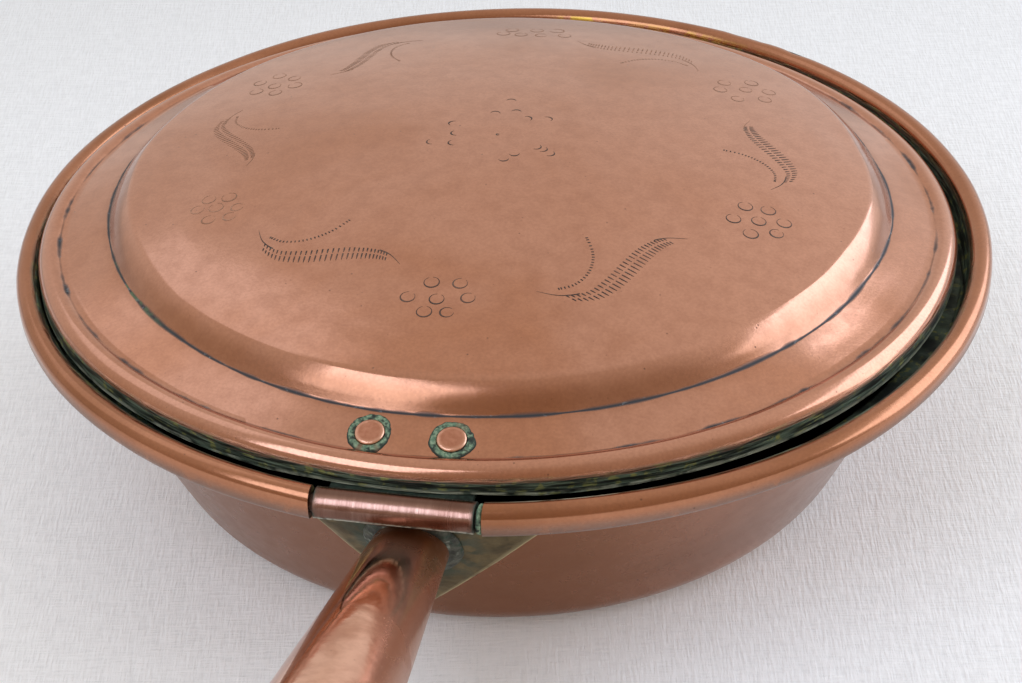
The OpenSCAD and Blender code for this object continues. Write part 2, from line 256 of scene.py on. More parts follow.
def hand_polished_copper(name, bright, brown, roughness, wax):
    """Raised copper sheet, rubbed bright for years: pinkish where it is handled, browned between,
    glossy under fine scratches and old wax, with small dark pits. Where the mesh says, it is worn
    bright, dulled by dust, tarnished or grimy. On the pan the dust's grey also stands for a
    painted reflection of the floor, the browned wall is thinned on the right as painted light,
    and the grime in the gap is partly painted shade; on the lid the browned band at the dome's
    foot is partly painted shade. The scratches are drawn some 0.35 mm wide, coarser than real
    hair scratches, which would be too fine to show."""
    material, tree, where = new_material(name)
    painted = {
        share: add(tree, "Attribute", attribute_name=share).outputs["Fac"]
        for share in (
            "browned", "dust_and_reflection", "worn", "dashed",
            "tarnish", "greened", "grime", "limed", "brassy",
        )
    }
    mottled = clouds(tree, where, 5, 5, 0.35, 0.7)
    fine = clouds(tree, where, 0.9, 2, 0.3, 0.7)
    browned = add(
        tree, "Math", (clouds(tree, where, 62, 4, 0.42, 0.72, 0.6), 0.7), operation="MULTIPLY"
    )
    # Dull brown where the browned share says: tarnish on the pan's wall, thinned on the right as
    # painted light, and at the lid's foot partly painted shade.
    dull = add(tree, "Math", (painted["browned"], 0.8), operation="MULTIPLY")
    # Grey, rougher film on the pan roll's lower outside: dust, and a painted reflection of the
    # floor.
    dust_and_reflection = add(
        tree, "Math", (painted["dust_and_reflection"], clouds(tree, where, 4, 4, 0.1, 0.5)), operation="MULTIPLY"
    )
    filmed = add(tree, "Math", (dull, dust_and_reflection), operation="MAXIMUM")
    pits = specks(tree, where, 4.6, 0.42, 0.34)
    crumbs = specks(tree, where, 2, 0.32, 0.14)

    # Blue-grey tarnish that polishing leaves: a ragged line at the dome's foot, and at the crease
    # a thin brown line with a dark dash every few centimetres
    uneven = clouds(tree, where, 12, 2, 0.3, 0.7)
    foot_width = add(
        tree, "Math", (uneven, 0.5 / LID_REACH, 0.3 / LID_REACH), operation="MULTIPLY_ADD"
    )
    foot_line = near_circle(tree, FOOT[0] + 0.3, foot_width)
    broken = clouds(tree, where, 24, 3, 0.3, 0.42)
    broken = add(tree, "Math", (broken, 0.75, 0.25), operation="MULTIPLY_ADD")
    foot_line = add(tree, "Math", (foot_line, broken), operation="MULTIPLY")
    dashed = add(
        tree,
        "Math",
        (painted["dashed"], clouds(tree, where, 7, 2, 0.15, 0.7)),
        operation="MULTIPLY",
    )
    dash_width = add(
        tree, "Math", (dashed, 0.8 / LID_REACH, 0.15 / LID_REACH), operation="MULTIPLY_ADD"
    )
    dash = add(
        tree, "Math", (near_circle(tree, CREASE[0] + 0.1, dash_width), dashed), operation="MULTIPLY"
    )
    thin = add(
        tree, "Math", (near_circle(tree, CREASE[0], 0.35 / LID_REACH), uneven), operation="MULTIPLY"
    )
    ragged = clouds(tree, where, 13, 4, 0.36, 0.6)
    smear = add(tree, "Math", (painted["tarnish"], ragged), operation="MULTIPLY")
    lines = add(tree, "Math", (foot_line, dash), operation="MAXIMUM")
    tarnish = add(tree, "Math", (lines, smear), operation="MAXIMUM")
    flecks = add(
        tree, "Math", (tarnish, clouds(tree, where, 1.6, 4, 0.6, 0.7)), operation="MULTIPLY"
    )
    green_line = add(tree, "Math", (foot_line, painted["greened"]), operation="MULTIPLY")
    green_line = add(
        tree, "Math", (green_line, clouds(tree, where, 2.4, 4, 0.4, 0.6)), operation="MULTIPLY"
    )

    # Black, green and yellow grime in the gap between lid and rim, with lime and brassy stains; on
    # the pan's seat and the roll's inner side the black is partly painted shade. Its patches lie
    # along the gap, 9 mm long and 0.7 mm high.
    along_edge = add(
        tree, "Mapping", {"Vector": where, "Scale": Vector((9, 9, 0.7)) * mm}, vector_type="TEXTURE"
    )
    patchy = clouds(tree, along_edge, 1000, 4, 0.3, 0.6)
    thick = add(tree, "Math", (painted["grime"], 3), operation="POWER")
    patches = add(tree, "Math", (painted["grime"], patchy), operation="MULTIPLY")
    dirt = add(tree, "Math", (patches, 0.7, thick), operation="MULTIPLY_ADD")
    green = add(
        tree, "Math", (dirt, clouds(tree, along_edge, 1400, 5, 0.4, 0.64)), operation="MULTIPLY"
    )
    yellow = add(
        tree, "Math", (green, clouds(tree, where, 2.6, 3, 0.54, 0.62)), operation="MULTIPLY"
    )
    limed = add(
        tree,
        "Math",
        (painted["limed"], clouds(tree, where, 6, 4, 0.36, 0.56)),
        operation="MULTIPLY",
    )
    brassy = add(
        tree,
        "Math",
        (painted["brassy"], clouds(tree, where, 3.4, 4, 0.4, 0.5)),
        operation="MULTIPLY",
    )

    # Metal shows less where tarnish and grime cover it
    covered = add(tree, "Math", (dirt, limed), operation="MAXIMUM")
    covered = add(tree, "Math", (tarnish, covered), operation="MAXIMUM")
    metal = add(tree, "Math", (covered, -0.75, 1), operation="MULTIPLY_ADD")
    hair = add(
        tree,
        "Math",
        (
            streaks(tree, where, 38, 0.35, (0.1, 0.2, 0.5), 0.6, 0.75),
            streaks(tree, where, 30, 0.35, (0.3, 0.1, -0.9), 0.6, 0.75),
        ),
        operation="MAXIMUM",
    )
    rough = add(tree, "Math", (mottled, 0.05, roughness), operation="MULTIPLY_ADD")
    rough = add(tree, "Math", (hair, 0.05, rough), operation="MULTIPLY_ADD")
    satin = add(tree, "Math", (filmed, 0.3), operation="MULTIPLY")
    satin = add(tree, "Math", (covered, satin), operation="MAXIMUM")
    rough = add(tree, "Math", (satin, 0.45, rough), operation="MULTIPLY_ADD")
    unwaxed = add(tree, "Math", (covered, filmed), operation="MAXIMUM")
    waxed = add(tree, "Math", (1, unwaxed), operation="SUBTRACT")
    normal = relief(
        tree,
        [
            (clouds(tree, where, 11, 2, 0.2, 0.8), 0.018),
            (hair, 0.002),
            (fine, 0.003),
            (add(tree, "Math", (1, pits), operation="SUBTRACT"), 0.03),
            (add(tree, "Math", (1, tarnish), operation="SUBTRACT"), 0.025),
            (add(tree, "Math", (dirt, patchy), operation="MULTIPLY"), 0.25),
        ],
    )
    colour = layered(tree, bright, [
        (browned, 1, brown),
        (mottled, 0.2, "#9A6248"),
        (dull, 1, "#85532F"),
        (dust_and_reflection, 1, "#8A7266"),
        (painted["worn"], 0.7, bright),
        (fine, 0.14, "#7C4A36"),
        (pits, 0.75, "#3E2A24"),
        (crumbs, 0.4, "#5A3A2E"),
        (thin, 0.6, "#5E3A2C"),
        (tarnish, 1, "#2F343A"),
        (flecks, 0.5, "#8D989E"),
        (green_line, 1, "#5B7350"),
        (dirt, 1, "#1C2119"),
        (green, 0.85, "#6B7C68"),
        (yellow, 0.8, "#9C9A50"),
        (limed, 0.85, "#B5B8A0"),
        (brassy, 1, "#B9953B"),
    ])
    surface = add(
        tree,
        "BsdfPrincipled",
        {
            "Base Color": colour,
            "Metallic": metal,
            "Roughness": rough,
            "Normal": normal,
            "Coat Weight": add(tree, "Math", (waxed, wax), operation="MULTIPLY"),
            "Coat Roughness": 0.14,
        },
    )
    add(tree, "OutputMaterial", (surface,))
    return material


def fire_blackened_copper(name, copper, soot):
    """Copper inside the pan and lid, scaled dark by embers: dull, sooty, with rubbed places."""
    material, tree, where = new_material(name)
    rubbed = clouds(tree, where, 34, 5, 0.46, 0.64)
    scale = clouds(tree, where, 6, 5, 0.35, 0.65)
    rough = add(tree, "Math", (scale, 0.2, 0.42), operation="MULTIPLY_ADD")
    normal = relief(tree, [(scale, 0.08), (clouds(tree, where, 1.1, 2), 0.03)])
    colour = layered(tree, soot, [
        (rubbed, 1, copper),
        (scale, 0.45, "#241A15"),
        (specks(tree, where, 7, 1.6, 0.2), 1, "#6E6A60"),
    ])
    surface = add(
        tree,
        "BsdfPrincipled",
        {"Base Color": colour, "Metallic": 0.8, "Roughness": rough, "Normal": normal},
    )
    add(tree, "OutputMaterial", (surface,))
    return material


def bright_socket_copper():
    """Copper tube polished hard by hand: crisp reflections and rubbing marks, with a brown film
    and a dark crust where the rag does not reach, at the root and along its right side. The
    rubbing marks are drawn 0.4 mm wide, since real ones would be too fine to show."""
    material, tree, where = new_material("bright_socket_copper")
    painted = {
        share: add(tree, "Attribute", attribute_name=share).outputs["Fac"]
        for share in ("root", "browned")
    }
    stains = clouds(tree, where, 16, 5, 0.5, 0.7, 0.8)
    mottled = clouds(tree, where, 2.4, 3, 0.35, 0.75)
    film = add(
        tree,
        "Math",
        (painted["browned"], clouds(tree, where, 6, 5, 0.1, 0.5)),
        operation="MULTIPLY",
    )
    crust = add(tree, "Math", (painted["root"], 3), operation="POWER")
    crust = add(tree, "Math", (crust, clouds(tree, where, 4, 4, 0.45, 0.6)), operation="MULTIPLY")
    pits = specks(tree, where, 5, 0.4, 0.25)
    hair = streaks(tree, where, 22, 0.4, (0, 0, 0.25), 0.58, 0.75)
    rough = add(tree, "Math", (hair, 0.06, 0.09), operation="MULTIPLY_ADD")
    rough = add(tree, "Math", (stains, 0.08, rough), operation="MULTIPLY_ADD")
    satin = add(tree, "Math", (film, 0.6), operation="MULTIPLY")
    satin = add(tree, "Math", (crust, satin), operation="MAXIMUM")
    rough = add(tree, "Math", (satin, 0.45, rough), operation="MULTIPLY_ADD")
    metal = add(tree, "Math", (film, -0.5, 1), operation="MULTIPLY_ADD")
    waves = clouds(tree, where, 9, 2, 0.2, 0.8)
    normal = relief(tree, [(hair, 0.002), (waves, 0.03), (mottled, 0.004), (crust, 0.2)])
    colour = layered(tree, "#E6B49B", [
        (stains, 0.5, "#B27557"),
        (mottled, 0.14, "#8A4E38"),
        (painted["root"], 0.6, "#C68A6A"),
        (film, 1, "#935732"),
        (crust, 1, "#43483C"),
        (pits, 0.7, "#4A2C22"),
    ])
    surface = add(
        tree,
        "BsdfPrincipled",
        {"Base Color": colour, "Metallic": metal, "Roughness": rough, "Normal": normal},
    )
    add(tree, "OutputMaterial", (surface,))
    return material


def brushed_strap_copper():
    """Copper strip rubbed round the hinge by the rim: fine scratches that run round the knuckle,
    silvery pink in a band on its front, green-white salts along its ragged end and dark ends.
    Above and below that band, where the lamp's reflection falls, and on the leaf, dark brown and
    black are painted shade. The scratches are drawn 0.25 and 0.7 mm wide, since real ones would
    be too fine to show."""
    material, tree, where = new_material("brushed_strap_copper")
    painted = {
        share: add(tree, "Attribute", attribute_name=share).outputs["Fac"]
        for share in ("grime", "browned", "worn")
    }

    def scratches(width, low, high):
        lines = add(
            tree,
            "Mapping",
            {"Vector": where, "Scale": Vector((width, 14, 14)) * mm},
            vector_type="TEXTURE",
        )
        texture = add(tree, "TexNoise", {"Vector": lines, "Scale": 1, "Detail": 2})
        return add(tree, "MapRange", {"Value": texture, "From Min": low, "From Max": high})

    coarse = scratches(0.7, 0.35, 0.7)
    fine = scratches(0.25, 0.4, 0.7)
    ragged = clouds(tree, where, 2.2, 4, 0.3, 0.6)
    black = add(tree, "Mix", (ragged, "#1B231C", "#34433A"), data_type="RGBA")
    thick = add(tree, "Math", (painted["grime"], 3), operation="POWER")
    patches = add(tree, "Math", (painted["grime"], ragged), operation="MULTIPLY")
    dirt = add(tree, "Math", (patches, 0.7, thick), operation="MULTIPLY_ADD")
    edge = add(
        tree,
        "Math",
        (painted["worn"], clouds(tree, where, 1.6, 3, 0.3, 0.55)),
        operation="MULTIPLY",
    )
    pits = specks(tree, where, 4.5, 0.35, 0.3)
    rough = add(tree, "Math", (coarse, 0.08, 0.2), operation="MULTIPLY_ADD")
    rough = add(tree, "Math", (dirt, 0.4, rough), operation="MULTIPLY_ADD")
    salts = add(tree, "Math", (dirt, edge), operation="MAXIMUM")
    metal = add(tree, "Math", (salts, -0.7, 1), operation="MULTIPLY_ADD")
    waves = clouds(tree, where, 7, 2)
    normal = relief(tree, [(coarse, 0.005), (fine, 0.003), (waves, 0.04), (dirt, 0.15)])
    # On the knuckle's top and lower side and on the leaf, the browned and grime shares lay painted
    # shade; at the ragged end and the knuckle's ends the grime is real.
    colour = layered(tree, "#CBA192", [
        (coarse, 0.5, "#9C6E60"),
        (fine, 0.3, "#7E574C"),
        (clouds(tree, where, 9, 4, 0.45, 0.65), 0.5, "#8A5A4A"),
        (painted["browned"], 0.8, "#5C4236"),
        (dirt, 1, black),
        (edge, 1, "#D3D8C8"),
        (pits, 1, "#4E332B"),
    ])
    surface = add(
        tree,
        "BsdfPrincipled",
        {"Base Color": colour, "Metallic": metal, "Roughness": rough, "Normal": normal},
    )
    add(tree, "OutputMaterial", (surface,))
    return material


def hammered_rivet_copper():
    """Copper rivet heads, beaten flat: satin pink faces with a bright worn rim."""
    material, tree, where = new_material("hammered_rivet_copper")
    worn = add(tree, "Attribute", attribute_name="worn").outputs["Fac"]
    mottled = clouds(tree, where, 1.6, 4, 0.3, 0.7)
    rough = add(tree, "Math", (mottled, 0.14, 0.28), operation="MULTIPLY_ADD")
    normal = relief(tree, [(clouds(tree, where, 2.6, 2, 0.2, 0.8), 0.09), (mottled, 0.02)])
    colour = layered(tree, "#C58A70", [
        (mottled, 0.5, "#A2664A"),
        (worn, 1, "#EBB79C"),
    ])
    surface = add(
        tree,
        "BsdfPrincipled",
        {"Base Color": colour, "Metallic": 1.0, "Roughness": rough, "Normal": normal},
    )
    add(tree, "OutputMaterial", (surface,))
    return material


def tarnished_brass():
    """Rolled brass sheet gone dull olive, rubbed bright along its edges, green near the solder."""
    material, tree, where = new_material("tarnished_brass")
    painted = {
        share: add(tree, "Attribute", attribute_name=share).outputs["Fac"]
        for share in ("grime", "worn")
    }
    stains = clouds(tree, where, 9, 5, 0.35, 0.68, 0.5)
    fine = clouds(tree, where, 1.2, 3, 0.3, 0.7)
    green = add(
        tree, "Math", (painted["grime"], clouds(tree, where, 4, 5, 0.38, 0.6)), operation="MULTIPLY"
    )
    edge = add(
        tree, "Math", (painted["worn"], clouds(tree, where, 5, 3, 0.25, 0.5)), operation="MULTIPLY"
    )
    rough = add(tree, "Math", (stains, 0.18, 0.34), operation="MULTIPLY_ADD")
    normal = relief(tree, [(stains, 0.03), (fine, 0.012)])
    colour = layered(tree, "#79683F", [
        (stains, 1, "#4C412A"),
        (fine, 0.3, "#3E3827"),
        (green, 1, "#3F4B3A"),
        (edge, 1, "#CDBE8C"),
    ])
    surface = add(
        tree,
        "BsdfPrincipled",
        {"Base Color": colour, "Metallic": 0.85, "Roughness": rough, "Normal": normal},
    )
    add(tree, "OutputMaterial", (surface,))
    return material


def crusted_solder():
    """Soft solder, dull grey, crusted white and green where it meets brass and copper."""
    material, tree, where = new_material("crusted_solder")
    lumps = clouds(tree, where, 3, 5, 0.35, 0.65)
    grain = clouds(tree, where, 0.8, 3, 0.35, 0.65)
    rough = add(tree, "Math", (grain, 0.2, 0.5), operation="MULTIPLY_ADD")
    normal = relief(tree, [(lumps, 0.12), (grain, 0.05)])
    colour = layered(tree, "#34372F", [
        (lumps, 1, "#5C5F52"),
        (clouds(tree, where, 6, 5, 0.5, 0.62, 0.7), 1, "#33483A"),
        (clouds(tree, where, 3.2, 4, 0.6, 0.72), 1, "#9AA497"),
    ])
    surface = add(
        tree,
        "BsdfPrincipled",
        {"Base Color": colour, "Metallic": 0.35, "Roughness": rough, "Normal": normal},
    )
    add(tree, "OutputMaterial", (surface,))
    return material


def verdigris_crust():
    """Copper salts grown round the rivets: chalky blue-green over a black-blue bed."""
    material, tree, where = new_material("verdigris_crust")
    painted = {
        share: add(tree, "Attribute", attribute_name=share).outputs["Fac"]
        for share in ("bed", "worn")
    }
    patches = clouds(tree, where, 1.5, 5, 0.34, 0.56, 0.4)
    grain = clouds(tree, where, 0.7, 3, 0.35, 0.65)
    inner = add(tree, "Math", (1, painted["bed"]), operation="SUBTRACT")
    patches = add(tree, "Math", (patches, inner), operation="MULTIPLY")
    chalk = add(tree, "Math", (patches, grain), operation="MULTIPLY")
    normal = relief(tree, [(patches, 0.12), (grain, 0.08)])
    colour = layered(tree, "#29332C", [
        (patches, 1, "#5A7A62"),
        (chalk, 0.7, "#A0B595"),
        (painted["worn"], 1, "#7E5B43"),
    ])
    surface = add(
        tree,
        "BsdfPrincipled",
        {"Base Color": colour, "Metallic": 0.0, "Roughness": 0.8, "Normal": normal},
    )
    add(tree, "OutputMaterial", (surface,))
    return material


def punched_groove(name, deep, shallow):
    """The bottom of a punched mark, where dirt and old polish have set, thin where it is worn."""
    material, tree, where = new_material(name)
    packed = clouds(tree, where, 9, 4, 0.4, 0.65)
    normal = relief(tree, [(clouds(tree, where, 0.5, 2), 0.03)])
    colour = layered(tree, deep, [
        (packed, 1, shallow),
        (clouds(tree, where, 1.4, 3, 0.5, 0.7), 0.5, "#5A5A50"),
    ])
    surface = add(
        tree,
        "BsdfPrincipled",
        {"Base Color": colour, "Metallic": 0.4, "Roughness": 0.5, "Normal": normal},
    )
    add(tree, "OutputMaterial", (surface,))
    return material


def forged_iron(name, rust):
    """Wrought iron, forged and long kept dry: dark scale with thin rust in the hollows."""
    material, tree, where = new_material(name)
    scale = clouds(tree, where, 3.2, 5, 0.35, 0.65)
    pits = clouds(tree, where, 0.9, 3, 0.35, 0.65)
    rough = add(tree, "Math", (scale, 0.2, 0.38), operation="MULTIPLY_ADD")
    normal = relief(tree, [(scale, 0.06), (pits, 0.03)])
    colour = layered(tree, "#2B2826", [
        (scale, 1, "#514B46"),
        (clouds(tree, where, 6, 5, 0.5, 0.68), rust, "#6A4028"),
    ])
    surface = add(
        tree,
        "BsdfPrincipled",
        {"Base Color": colour, "Metallic": 0.8, "Roughness": rough, "Normal": normal},
    )
    add(tree, "OutputMaterial", (surface,))
    return material


def nail_brass():
    """Domed brass nail heads, bright on the crown and brown round the edge."""
    material, tree, where = new_material("nail_brass")
    stains = clouds(tree, where, 1.8, 4, 0.35, 0.65)
    rough = add(tree, "Math", (stains, 0.2, 0.24), operation="MULTIPLY_ADD")
    normal = relief(tree, [(stains, 0.03)])
    colour = layered(tree, "#BE9A55", [(stains, 1, "#7A5C2E")])
    surface = add(
        tree,
        "BsdfPrincipled",
        {"Base Color": colour, "Metallic": 1.0, "Roughness": rough, "Normal": normal},
    )
    add(tree, "OutputMaterial", (surface,))
    return material


def waxed_fruitwood():
    """Turned fruitwood, waxed and handled: long close grain, faint rings from the chisel, darker
    where hands have reached it. Its pores are drawn 0.5 mm wide, coarser than real ones."""
    material, tree, where = new_material("waxed_fruitwood")
    turn = (-SOCKET_RISE, 0, 0)
    across, along, round_it = (
        add(
            tree,
            "Mapping",
            {"Vector": where, "Location": heart, "Rotation": turn, "Scale": Vector(size) * mm},
            vector_type="TEXTURE",
        )
        for size, heart in (
            ((3.2, 90, 3.2), Vector((-31, 0, 12)) * mm),
            ((0.5, 11, 0.5), (0, 0, 0)),
            ((60, 0.8, 60), (0, 0, 0)),
        )
    )
    rings = add(
        tree,
        "TexWave",
        {"Vector": across, "Scale": 0.3, "Distortion": 5, "Detail": 3, "Detail Scale": 1.2},
        wave_type="RINGS",
        rings_direction="Y",
    )
    pores = add(tree, "TexNoise", {"Vector": along, "Scale": 1, "Detail": 3})
    pores = add(tree, "MapRange", {"Value": pores, "From Min": 0.52, "From Max": 0.7})
    chisel = add(tree, "TexNoise", {"Vector": round_it, "Scale": 1})
    handled = clouds(tree, where, 70, 4, 0.35, 0.65)
    rough = add(tree, "Math", (pores, 0.2, 0.34), operation="MULTIPLY_ADD")
    rough = add(tree, "Math", (handled, 0.08, rough), operation="MULTIPLY_ADD")
    filled_wood = add(tree, "Math", (1, pores), operation="SUBTRACT")
    normal = relief(tree, [(filled_wood, 0.05), (chisel, 0.02)])
    colour = layered(tree, "#6B3F21", [
        (rings, 1, "#8C5A31"),
        (handled, 0.55, "#4A2A16"),
        (pores, 0.6, "#2E1A0F"),
        (clouds(tree, where, 8, 4, 0.55, 0.7), 0.3, "#2A190F"),
    ])
    surface = add(
        tree,
        "BsdfPrincipled",
        {
            "Base Color": colour,
            "Metallic": 0.0,
            "Roughness": rough,
            "IOR": 1.5,
            "Coat Weight": 0.25,
            "Coat Roughness": 0.3,
            "Normal": normal,
        },
    )
    add(tree, "OutputMaterial", (surface,))
    return material


def pale_cloth():
    """The pale floor: matt off-white with the faintest weave, greyer towards the back and left of
    the pan as painted shade. It shows itself a little lighter than it is lit, so that the shadow
    stays soft. The weave's threads are 0.8 mm wide, coarser than real ones, which would not show."""
    material, tree, where = new_material("pale_cloth")
    across = streaks(tree, where, 6, 0.8, (0, 0, 0.2), 0.3, 0.7)
    along = streaks(tree, where, 6, 0.8, (0, 0, 0.2 + math.pi / 2), 0.3, 0.7)
    weave = add(tree, "Math", (along, 0.5), operation="MULTIPLY")
    weave = add(tree, "Math", (across, 0.5, weave), operation="MULTIPLY_ADD")
    # Greyer towards the back and left of the pan: painted shade.
    behind = add(tree, "VectorMath", (where, (-0.4, 0.92, 0)), operation="DOT_PRODUCT")
    far = add(tree, "MapRange", {"Value": behind, "From Min": 0, "From Max": 0.6})
    rays = add(tree, "LightPath").outputs
    seen = add(tree, "Math", (rays["Is Camera Ray"], rays["Is Glossy Ray"]), operation="MAXIMUM")
    normal = relief(tree, [(weave, 0.25)])
    colour = layered(tree, "#E6E6E6", [(weave, 1, "#FDFDFD"), (far, 1, "#C4C4C4")])
    surface = add(
        tree,
        "BsdfPrincipled",
        {
            "Base Color": colour,
            "Roughness": 0.95,
            "Specular IOR Level": 0.1,
            "Normal": normal,
            "Emission Color": "#FBFDFF",
            "Emission Strength": add(tree, "Math", (seen, 0.13), operation="MULTIPLY"),
        },
    )
    add(tree, "OutputMaterial", (surface,))
    return material


lid_copper = hand_polished_copper("lid_copper", "#D0977C", "#BD7E5B", 0.13, 0.35)
pan_copper = hand_polished_copper("pan_copper", "#B67C5C", "#85532F", 0.17, 0.15)
pan_inside = fire_blackened_copper("pan_inside", "#8A5B42", "#3A2A22")
lid_inside = fire_blackened_copper("lid_inside", "#9A6A50", "#54392C")
socket_copper = bright_socket_copper()
strap_copper = brushed_strap_copper()
rivet_copper = hammered_rivet_copper()
plate_brass = tarnished_brass()
solder = crusted_solder()
verdigris = verdigris_crust()
groove = punched_groove("punched_groove", "#41302A", "#6A4C3F")
worn_groove = punched_groove("worn_groove", "#96694F", "#B38368")
wire_iron = forged_iron("wire_iron", 0.4)
fitting_iron = forged_iron("fitting_iron", 0.6)
brass_nails = nail_brass()
handle_wood = waxed_fruitwood()
floor_cloth = pale_cloth()


# ---- Making meshes --------------------------------------------------------------------------


def rounded(corners, turn=math.radians(6)):
    """Points along a path of (r, z, radius) corners, each corner an arc of its radius."""
    path = [Vector(corners[0][:2])]
    for before, here, after in zip(corners, corners[1:], corners[2:]):
        a, b, c = (Vector(corner[:2]) for corner in (before, here, after))
        u, v = (b - a).normalized(), (c - b).normalized()
        angle = math.atan2(u.x * v.y - u.y * v.x, u.dot(v))
        radius = here[2]
        if radius == 0 or abs(angle) < 1e-6:
            path.append(b)
            continue
        start = b - u * radius * math.tan(abs(angle) / 2)
        centre = start + Vector((-u.y, u.x)) * math.copysign(radius, angle)
        steps = max(2, math.ceil(abs(angle) / turn))
        arm = start - centre
        path += [centre + Matrix.Rotation(angle * i / steps, 2) @ arm for i in range(steps + 1)]
    path.append(Vector(corners[-1][:2]))
    return path


def filled(path, spacing):
    """The same path with more points, so that no two are further apart than the spacing."""
    points = [path[0]]
    for a, b in zip(path, path[1:]):
        steps = max(1, math.ceil((b - a).length / spacing))
        points += [a.lerp(b, i / steps) for i in range(1, steps + 1)]
    return points


def offset(path, distance):
    """A path moved to its left by a distance; a point on the axis stays on it."""
    moved = []
    for i, here in enumerate(path):
        along = (path[min(i + 1, len(path) - 1)] - path[max(i - 1, 0)]).normalized()
        point = here + Vector((-along.y, along.x)) * distance
        moved.append(Vector((0, here.y + distance)) if here.x < 1e-6 else point)
    return moved


def arc(centre, radius, start, end, step=7):
    """Points on an arc from one angle to another, in degrees."""
    steps = max(1, round(abs(end - start) / step))
    turns = [math.radians(start + (end - start) * i / steps) for i in range(steps + 1)]
    return [Vector(centre) + radius * Vector((math.cos(a), math.sin(a))) for a in turns]


def chance(point, wavelength, seed=0.0):
    """A smooth chance value from -1 to 1 at a point, the same on every run."""
    return noise.noise(point / wavelength + Vector((seed, -seed, seed)))


def between(table, place):
    """The value at a place, straight between a table's pairs of place and value."""
    return float(np.interp(place, *zip(*table)))


def bump(value, centre, width):
    """A smooth bump of height 1 at the centre that falls to 0 at the width."""
    t = min(abs(value - centre) / width, 1.0)
    return (1 - t * t) ** 2


def rise(value, start, end):
    """0 up to the start, 1 from the end on, and straight between."""
    return min(max((value - start) / (end - start), 0), 1)


def around(azimuth, distance):
    """A flat vector at an azimuth in degrees, from -Y towards +X."""
    a = math.radians(azimuth)
    return distance * Vector((math.sin(a), -math.cos(a)))


def apart(azimuth, other):
    """How far one azimuth lies past another, from -180 to 180 degrees."""
    return (azimuth - other + 180) % 360 - 180


def lathe(profile, columns, shape):
    """Points and faces of a closed profile of (r, z) turned once round. `shape` gives the point
    for a radius, an angle, a height and the row."""
    rows = len(profile)
    points = [
        shape(p[0], 2 * math.pi * column / columns, p[1], row)
        for column in range(columns)
        for row, p in enumerate(profile)
    ]
    faces = []
    for column in range(columns):
        here, there = column * rows, (column + 1) % columns * rows
        for row in range(rows):
            after = (row + 1) % rows
            faces.append((here + row, there + row, there + after, here + after))
    return points, faces


def swept(loops):
    """Points and faces of a rod: equal closed loops joined in turn, with a cap at each end."""
    count = len(loops[0])
    points = [p for loop in loops for p in loop]
    faces = []
    for first in range(0, count * (len(loops) - 1), count):
        for i in range(count):
            j = (i + 1) % count
            faces.append((first + i, first + count + i, first + count + j, first + j))
    faces += [list(range(count)), list(range(len(points) - count, len(points)))]
    return points, faces


def slab(front, back):
    """Points and faces of a closed sheet: a grid of points for each side, joined at the edge."""
    rows, columns = len(front), len(front[0])
    points = [p for grid in (front, back) for row in grid for p in row]

    def at(side, i, j):
        return (side * rows + i) * columns + j

    faces = [
        (at(side, i, j), at(side, i, j + 1), at(side, i + 1, j + 1), at(side, i + 1, j))
        for side in (0, 1)
        for i in range(rows - 1)
        for j in range(columns - 1)
    ]
    border = [(i, 0) for i in range(rows)] + [(rows - 1, j) for j in range(1, columns)]
    border += [(i, columns - 1) for i in reversed(range(rows - 1))]
    border += [(0, j) for j in reversed(range(1, columns - 1))]
    for (a, b), (c, d) in zip(border, border[1:] + border[:1]):
        faces.append((at(0, a, b), at(0, c, d), at(1, c, d), at(1, a, b)))
    return points, faces


def joined(parts):
    """Several lots of points and faces as one."""
    points = []
    faces = []
    for more, sides in parts:
        faces += [[index + len(points) for index in side] for side in sides]
        points += more
    return points, faces


def new_piece(name, made, materials, body, node=None, shares=None, kinds=None, sharp=50):
    """A mesh from points in millimetres and faces, riding on a body and standing for a node of
    the frame. `shares` are lists of values from 0 to 1 on its points, by name, `kinds` the
    faces' materials, and edges sharper than `sharp` degrees stay crisp."""
    points, faces = made
    mesh = bpy.data.meshes.new(name)
    mesh.from_pydata([tuple(p * mm) for p in points], [], faces)
    for material in materials:
        mesh.materials.append(material)
    for share, values in (shares or {}).items():
        layer = mesh.attributes.new(share, "FLOAT", "POINT")
        layer.data.foreach_set("value", np.clip(values, 0, 1))
    if kinds:
        mesh.polygons.foreach_set("material_index", kinds)
    work = bmesh.new()
    work.from_mesh(mesh)
    bmesh.ops.remove_doubles(work, verts=work.verts, dist=1e-6)
    bmesh.ops.recalc_face_normals(work, faces=work.faces)
    for face in work.faces:
        face.smooth = True
    for edge in work.edges:
        if len(edge.link_faces) == 2 and edge.calc_face_angle(0) > math.radians(sharp):
            edge.smooth = False
    work.to_mesh(mesh)
    work.free()
    piece = bpy.data.objects.new(name, mesh)
    bpy.context.scene.collection.objects.link(piece)
    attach(piece, body)
    if node:
        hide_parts(node)
    return piece


# ---- Pan ------------------------------------------------------------------------------------

PAN_COLUMNS = 360
GAP_COLUMNS = 16
CUT_Z = hinge.z - KNUCKLE_R - KNUCKLE_CLEAR
FLARE_END = (WIRE_R - 0.6, hinge.z - BEAD_H / 2 + 0.7)
FLARE_BACK = PAN_T * math.sqrt(2)
LIP = 0.3
# The roll away from the hinge: its width and height as shares of the full roll, and how much
# lower it stands
LOW_RIM = (0.94, 0.837, -1.05)
